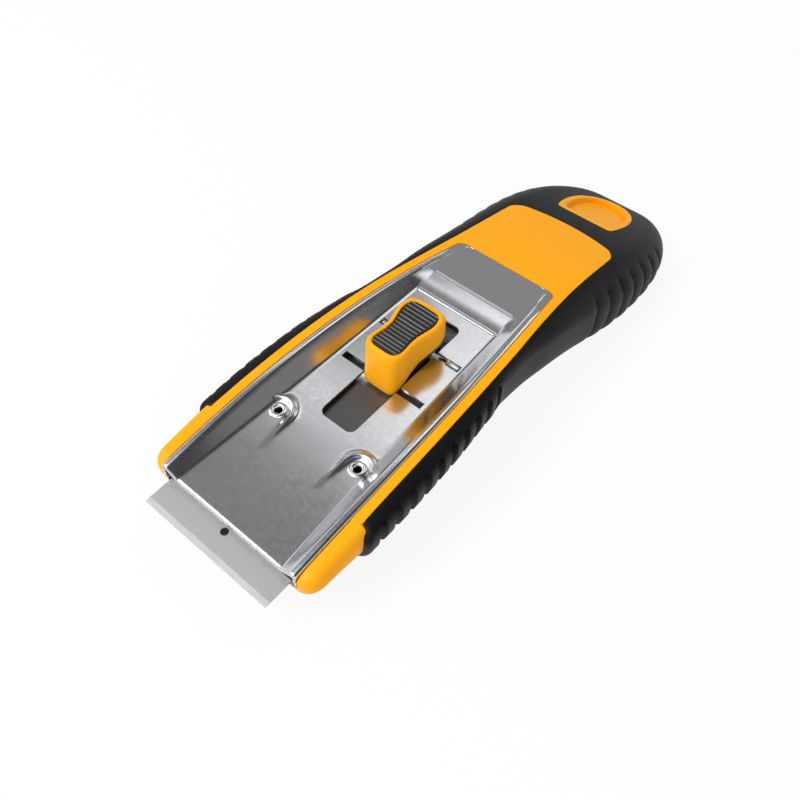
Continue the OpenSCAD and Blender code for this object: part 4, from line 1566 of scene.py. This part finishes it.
@dataclass
class LockSpring:
    """The leaf under the button, whose tabs draw down out of the notches when it is pressed.

    Its foot and tongue are a half width and two places along the tool, from the tabs.
    """

    lock_y: float = 73.4
    leaf_low: float = 0.66
    leaf_high: float = 1.04
    foot: Point = (6.8, 5.4, 10.0)
    tongue: Point = (3.8, -9.6, 5.8)
    arm_in: float = 3.4
    arm_half: float = 1.1
    tab_in: float = 8.6
    tab_out: float = 12.4
    tab_half: float = 0.6
    tab_top: float = 2.37
    tab_lap: float = 0.15
    edge_round: float = 0.08

    def bar(self, xs: Sequence[float], ys: Pair, zs: Pair) -> Shape:
        """A bar with softened edges.

        Args:
            xs: Its two sides.
            ys: Its front and rear, from the tabs.
            zs: Its foot and top.

        Returns:
            The bar.
        """
        ends = (sorted(xs), [self.lock_y + y for y in ys], zs)
        bm = bmesh.new()
        add_box(bm, [(a + b) / 2 for a, b in ends], [b - a for a, b in ends])
        soften(bm, bm.edges, self.edge_round, 2)
        return bm

    def build(self) -> bpy.types.Object:
        """Build the leaf, its arms and its tabs, and give the piece a mesh of its own.

        Returns:
            The finished piece.
        """
        leaf = (self.leaf_low, self.leaf_high)
        tab = (self.leaf_high - self.tab_lap, self.tab_top)
        plates = (self.foot, self.tongue)
        parts = [self.bar((-half, half), (front, rear), leaf) for half, front, rear in plates]
        for face in [f for shape in parts for f in shape.faces]:
            face.material_index = 1
        for side in SIDES:
            arm_sides, tab_sides = ((side * x, side * self.tab_out) for x in (self.arm_in, self.tab_in))
            parts.append(self.bar(arm_sides, (-self.arm_half, self.arm_half), leaf))
            parts.append(self.bar(tab_sides, (-self.tab_half, self.tab_half), tab))
        piece = Piece("lock_leaf", SPRING_STEEL, Body.CARRIAGE, ["lock_spring"], 30, LEAF_STEEL)
        made = piece.make(joined(parts))
        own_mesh(made)
        return made


@dataclass
class BladeBackingPaintedShade:
    """The tip of the carrier's tongue under the blade's hole, in near-black steel: painted shade that makes
    the hole read dark.
    """

    y: float = 6.5
    radius: float = 1.3
    top: float = -0.28
    thick: float = 0.12

    def build(self) -> bpy.types.Object:
        """Turn one thin disc under the hole, near black as painted shade.

        Returns:
            The finished piece.
        """
        bm = bmesh.new()
        disc = {"cap_ends": True, "segments": 40, "radius1": self.radius, "radius2": self.radius}
        place = Matrix.Translation((0, self.y, self.top - self.thick / 2))
        bmesh.ops.create_cone(bm, depth=self.thick, matrix=place, **disc)
        return Piece("tongue_tip_painted_shade", TONGUE_STEEL_PAINTED_SHADE, Body.CARRIAGE).make(bm)


@dataclass
class Steelwork:
    """The plain sheet pieces that keep their CAD shape and only take a finish."""

    finishes: dict[str, Finish] = field(
        default_factory=lambda: {
            "blade": BLADE_STEEL,
            "blade_carrier": CARRIER_STEEL,
            "guide_channel": CHANNEL_STEEL,
            "channel_screws": BRIGHT_STEEL,
            "blade_pins": BRIGHT_STEEL,
            "spring_rivets": CARRIER_STEEL,
        }
    )

    def dress(self) -> None:
        """Give each node its finish."""
        for name, finish in self.finishes.items():
            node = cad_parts[name]
            node.data.materials.clear()
            node.data.materials.append(finish.material())
            LOG.info("%s: dressed as %s", name, finish.name)


@dataclass
class Studio:
    """The floor, the lamps, the sky and the camera. Lamps stand in metres and shine in watts.

    The surround's stops are a share of the way up, or of the way to the rear, and a shade.
    """

    lens: float = 37.206
    sensor: float = 36.0
    nearest: float = 0.01
    eye: Point = (85.11, -29.53, 164.24)
    right: Point = (0.75848, 0.65152, -0.01528)
    up: Point = (-0.52246, 0.62190, 0.58334)
    back: Point = (0.38956, -0.43447, 0.81208)
    floor_half: float = 4.0
    floor_grey: float = 0.86
    floor_white: float = 0.9
    lamps: tuple[tuple[str, Point, float], ...] = (
        ("key", (-0.35, -0.58, 0.72), 7.1),
        ("fill", (0.55, -0.6, 0.35), 0.8),
        ("rear", (0.4, 0.75, 0.5), 0.8),
    )
    lamp_size: float = 0.5
    aim: Point = (0, 0, 0.02)
    ambient: float = 0.5
    low_stops: tuple[Pair, ...] = ((0.0, 1.0), (0.34, 1.0), (0.44, 0.14), (0.58, 0.28), (0.72, 0.07))
    left_stops: tuple[Pair, ...] = (
        (0.3, 1.6), (0.42, 1.6), (0.47, 0.25), (0.62, 0.23),
        (0.637, 1.6), (0.652, 1.6), (0.672, 0.12), (0.79, 0.33),
    )
    right_stops: tuple[Pair, ...] = (
        (0.3, 1.6), (0.42, 1.6), (0.47, 0.23), (0.625, 0.22), (0.65, 1.6), (0.75, 1.3), (0.79, 0.33),
    )
    ceiling_part: Pair = (-0.435, -0.385)
    ceiling_low: Pair = (0.4, 0.5)
    ceiling_side: Pair = (0.2, -0.1)

    def camera(self) -> None:
        """Stand the camera where the photograph was taken."""
        data = bpy.data.cameras.new("view")
        data.lens = self.lens
        data.sensor_width = self.sensor
        data.clip_start = self.nearest
        camera = bpy.data.objects.new("view", data)
        bpy.context.scene.collection.objects.link(camera)
        turn = Matrix.Rotation(math.radians(TOOL.tilt), 3, "X")
        axes = [turn @ Vector(a) for a in (self.right, self.up, self.back)]
        spin = Matrix(axes).transposed().to_4x4()
        camera.matrix_world = Matrix.Translation(TOOL.matrix() @ Vector(self.eye)) @ spin
        bpy.context.scene.camera = camera

    def floor(self) -> None:
        """Lay a pale floor that shows as white and keeps a soft shadow."""
        bm = bmesh.new()
        bmesh.ops.create_grid(bm, x_segments=1, y_segments=1, size=self.floor_half)
        floor = placed("floor", bm, Matrix())
        material = bpy.data.materials.new("pale_floor")
        material.use_nodes = True
        material.node_tree.nodes.clear()
        tree = Tree(material.node_tree)
        matt = tree.add("ShaderNodeBsdfDiffuse", {"Color": (*[self.floor_grey] * 3, 1)}).outputs["BSDF"]
        white = tree.add("ShaderNodeEmission", {"Strength": 1.0}).outputs["Emission"]
        share = tree.combine("MULTIPLY", tree.seen(), self.floor_white)
        mix = tree.add("ShaderNodeMixShader", {"Fac": share, 1: matt, 2: white})
        tree.add("ShaderNodeOutputMaterial", {"Surface": mix.outputs["Shader"]})
        floor.data.materials.append(material)

    def lamp(self, name: str, place: Point, power: float) -> None:
        """Hang one soft lamp.

        Args:
            name: Its name.
            place: Where it hangs, in metres.
            power: Its power, in watts.
        """
        data = bpy.data.lights.new(name, "AREA")
        data.shape = "SQUARE"
        data.size = self.lamp_size
        data.energy = power
        lamp = bpy.data.objects.new(name, data)
        lamp.location = place
        lamp.rotation_euler = (Vector(self.aim) - Vector(place)).to_track_quat("-Z", "Y").to_euler()
        bpy.context.scene.collection.objects.link(lamp)

    def surround(self, tree: Tree) -> Socket:
        """The surround: white all round and below, with a dim ceiling and its soft boxes overhead.

        Args:
            tree: The world's nodes.

        Returns:
            The surround's colour by direction.
        """
        split = tree.add("ShaderNodeSeparateXYZ", {"Vector": tree.coordinates("Generated")})
        x, y, z = split.outputs
        along = tree.remap(y, -1.0, 1.0)
        sides = [tree.ramp(along, stops) for stops in (self.left_stops, self.right_stops)]
        parted, raised, aside = (
            tree.remap(value, *ends, way="SMOOTHSTEP")
            for value, ends in ((x, self.ceiling_part), (z, self.ceiling_low), (x, self.ceiling_side))
        )
        overhead = tree.combine("MULTIPLY", raised, aside)
        return tree.mix(overhead, tree.ramp(z, self.low_stops), tree.mix(parted, *sides))

    def sky(self) -> None:
        """Show the surround to the eye, the metal and any glass, and a plain one to matt faces."""
        world = bpy.data.worlds.new("studio")
        bpy.context.scene.world = world
        world.cycles.sampling_method = "NONE"
        world.use_nodes = True
        world.node_tree.nodes.clear()
        tree = Tree(world.node_tree)
        plain, shown = (
            tree.add("ShaderNodeBackground", {"Color": colour}).outputs["Background"]
            for colour in ((*[self.ambient] * 3, 1), self.surround(tree))
        )
        mix = tree.add("ShaderNodeMixShader", {"Fac": tree.seen(), 1: plain, 2: shown})
        tree.add("ShaderNodeOutputWorld", {"Surface": mix.outputs["Shader"]})

    def build(self) -> None:
        """Set up the whole studio."""
        bpy.context.scene.view_settings.view_transform = "Standard"
        self.camera()
        self.floor()
        for name, place, power in self.lamps:
            self.lamp(name, place, power)
        self.sky()


def main() -> None:
    """Build every sub-assembly in order, then the studio."""
    logging.basicConfig(level=logging.INFO, format="%(message)s")
    Grip().build()
    Handle().build()
    Plate().build()
    Eyelets().build()
    Button().build()
    LockSpring().build()
    BladeBackingPaintedShade().build()
    Steelwork().dress()
    Studio().build()


if __name__ == "__main__":
    main()
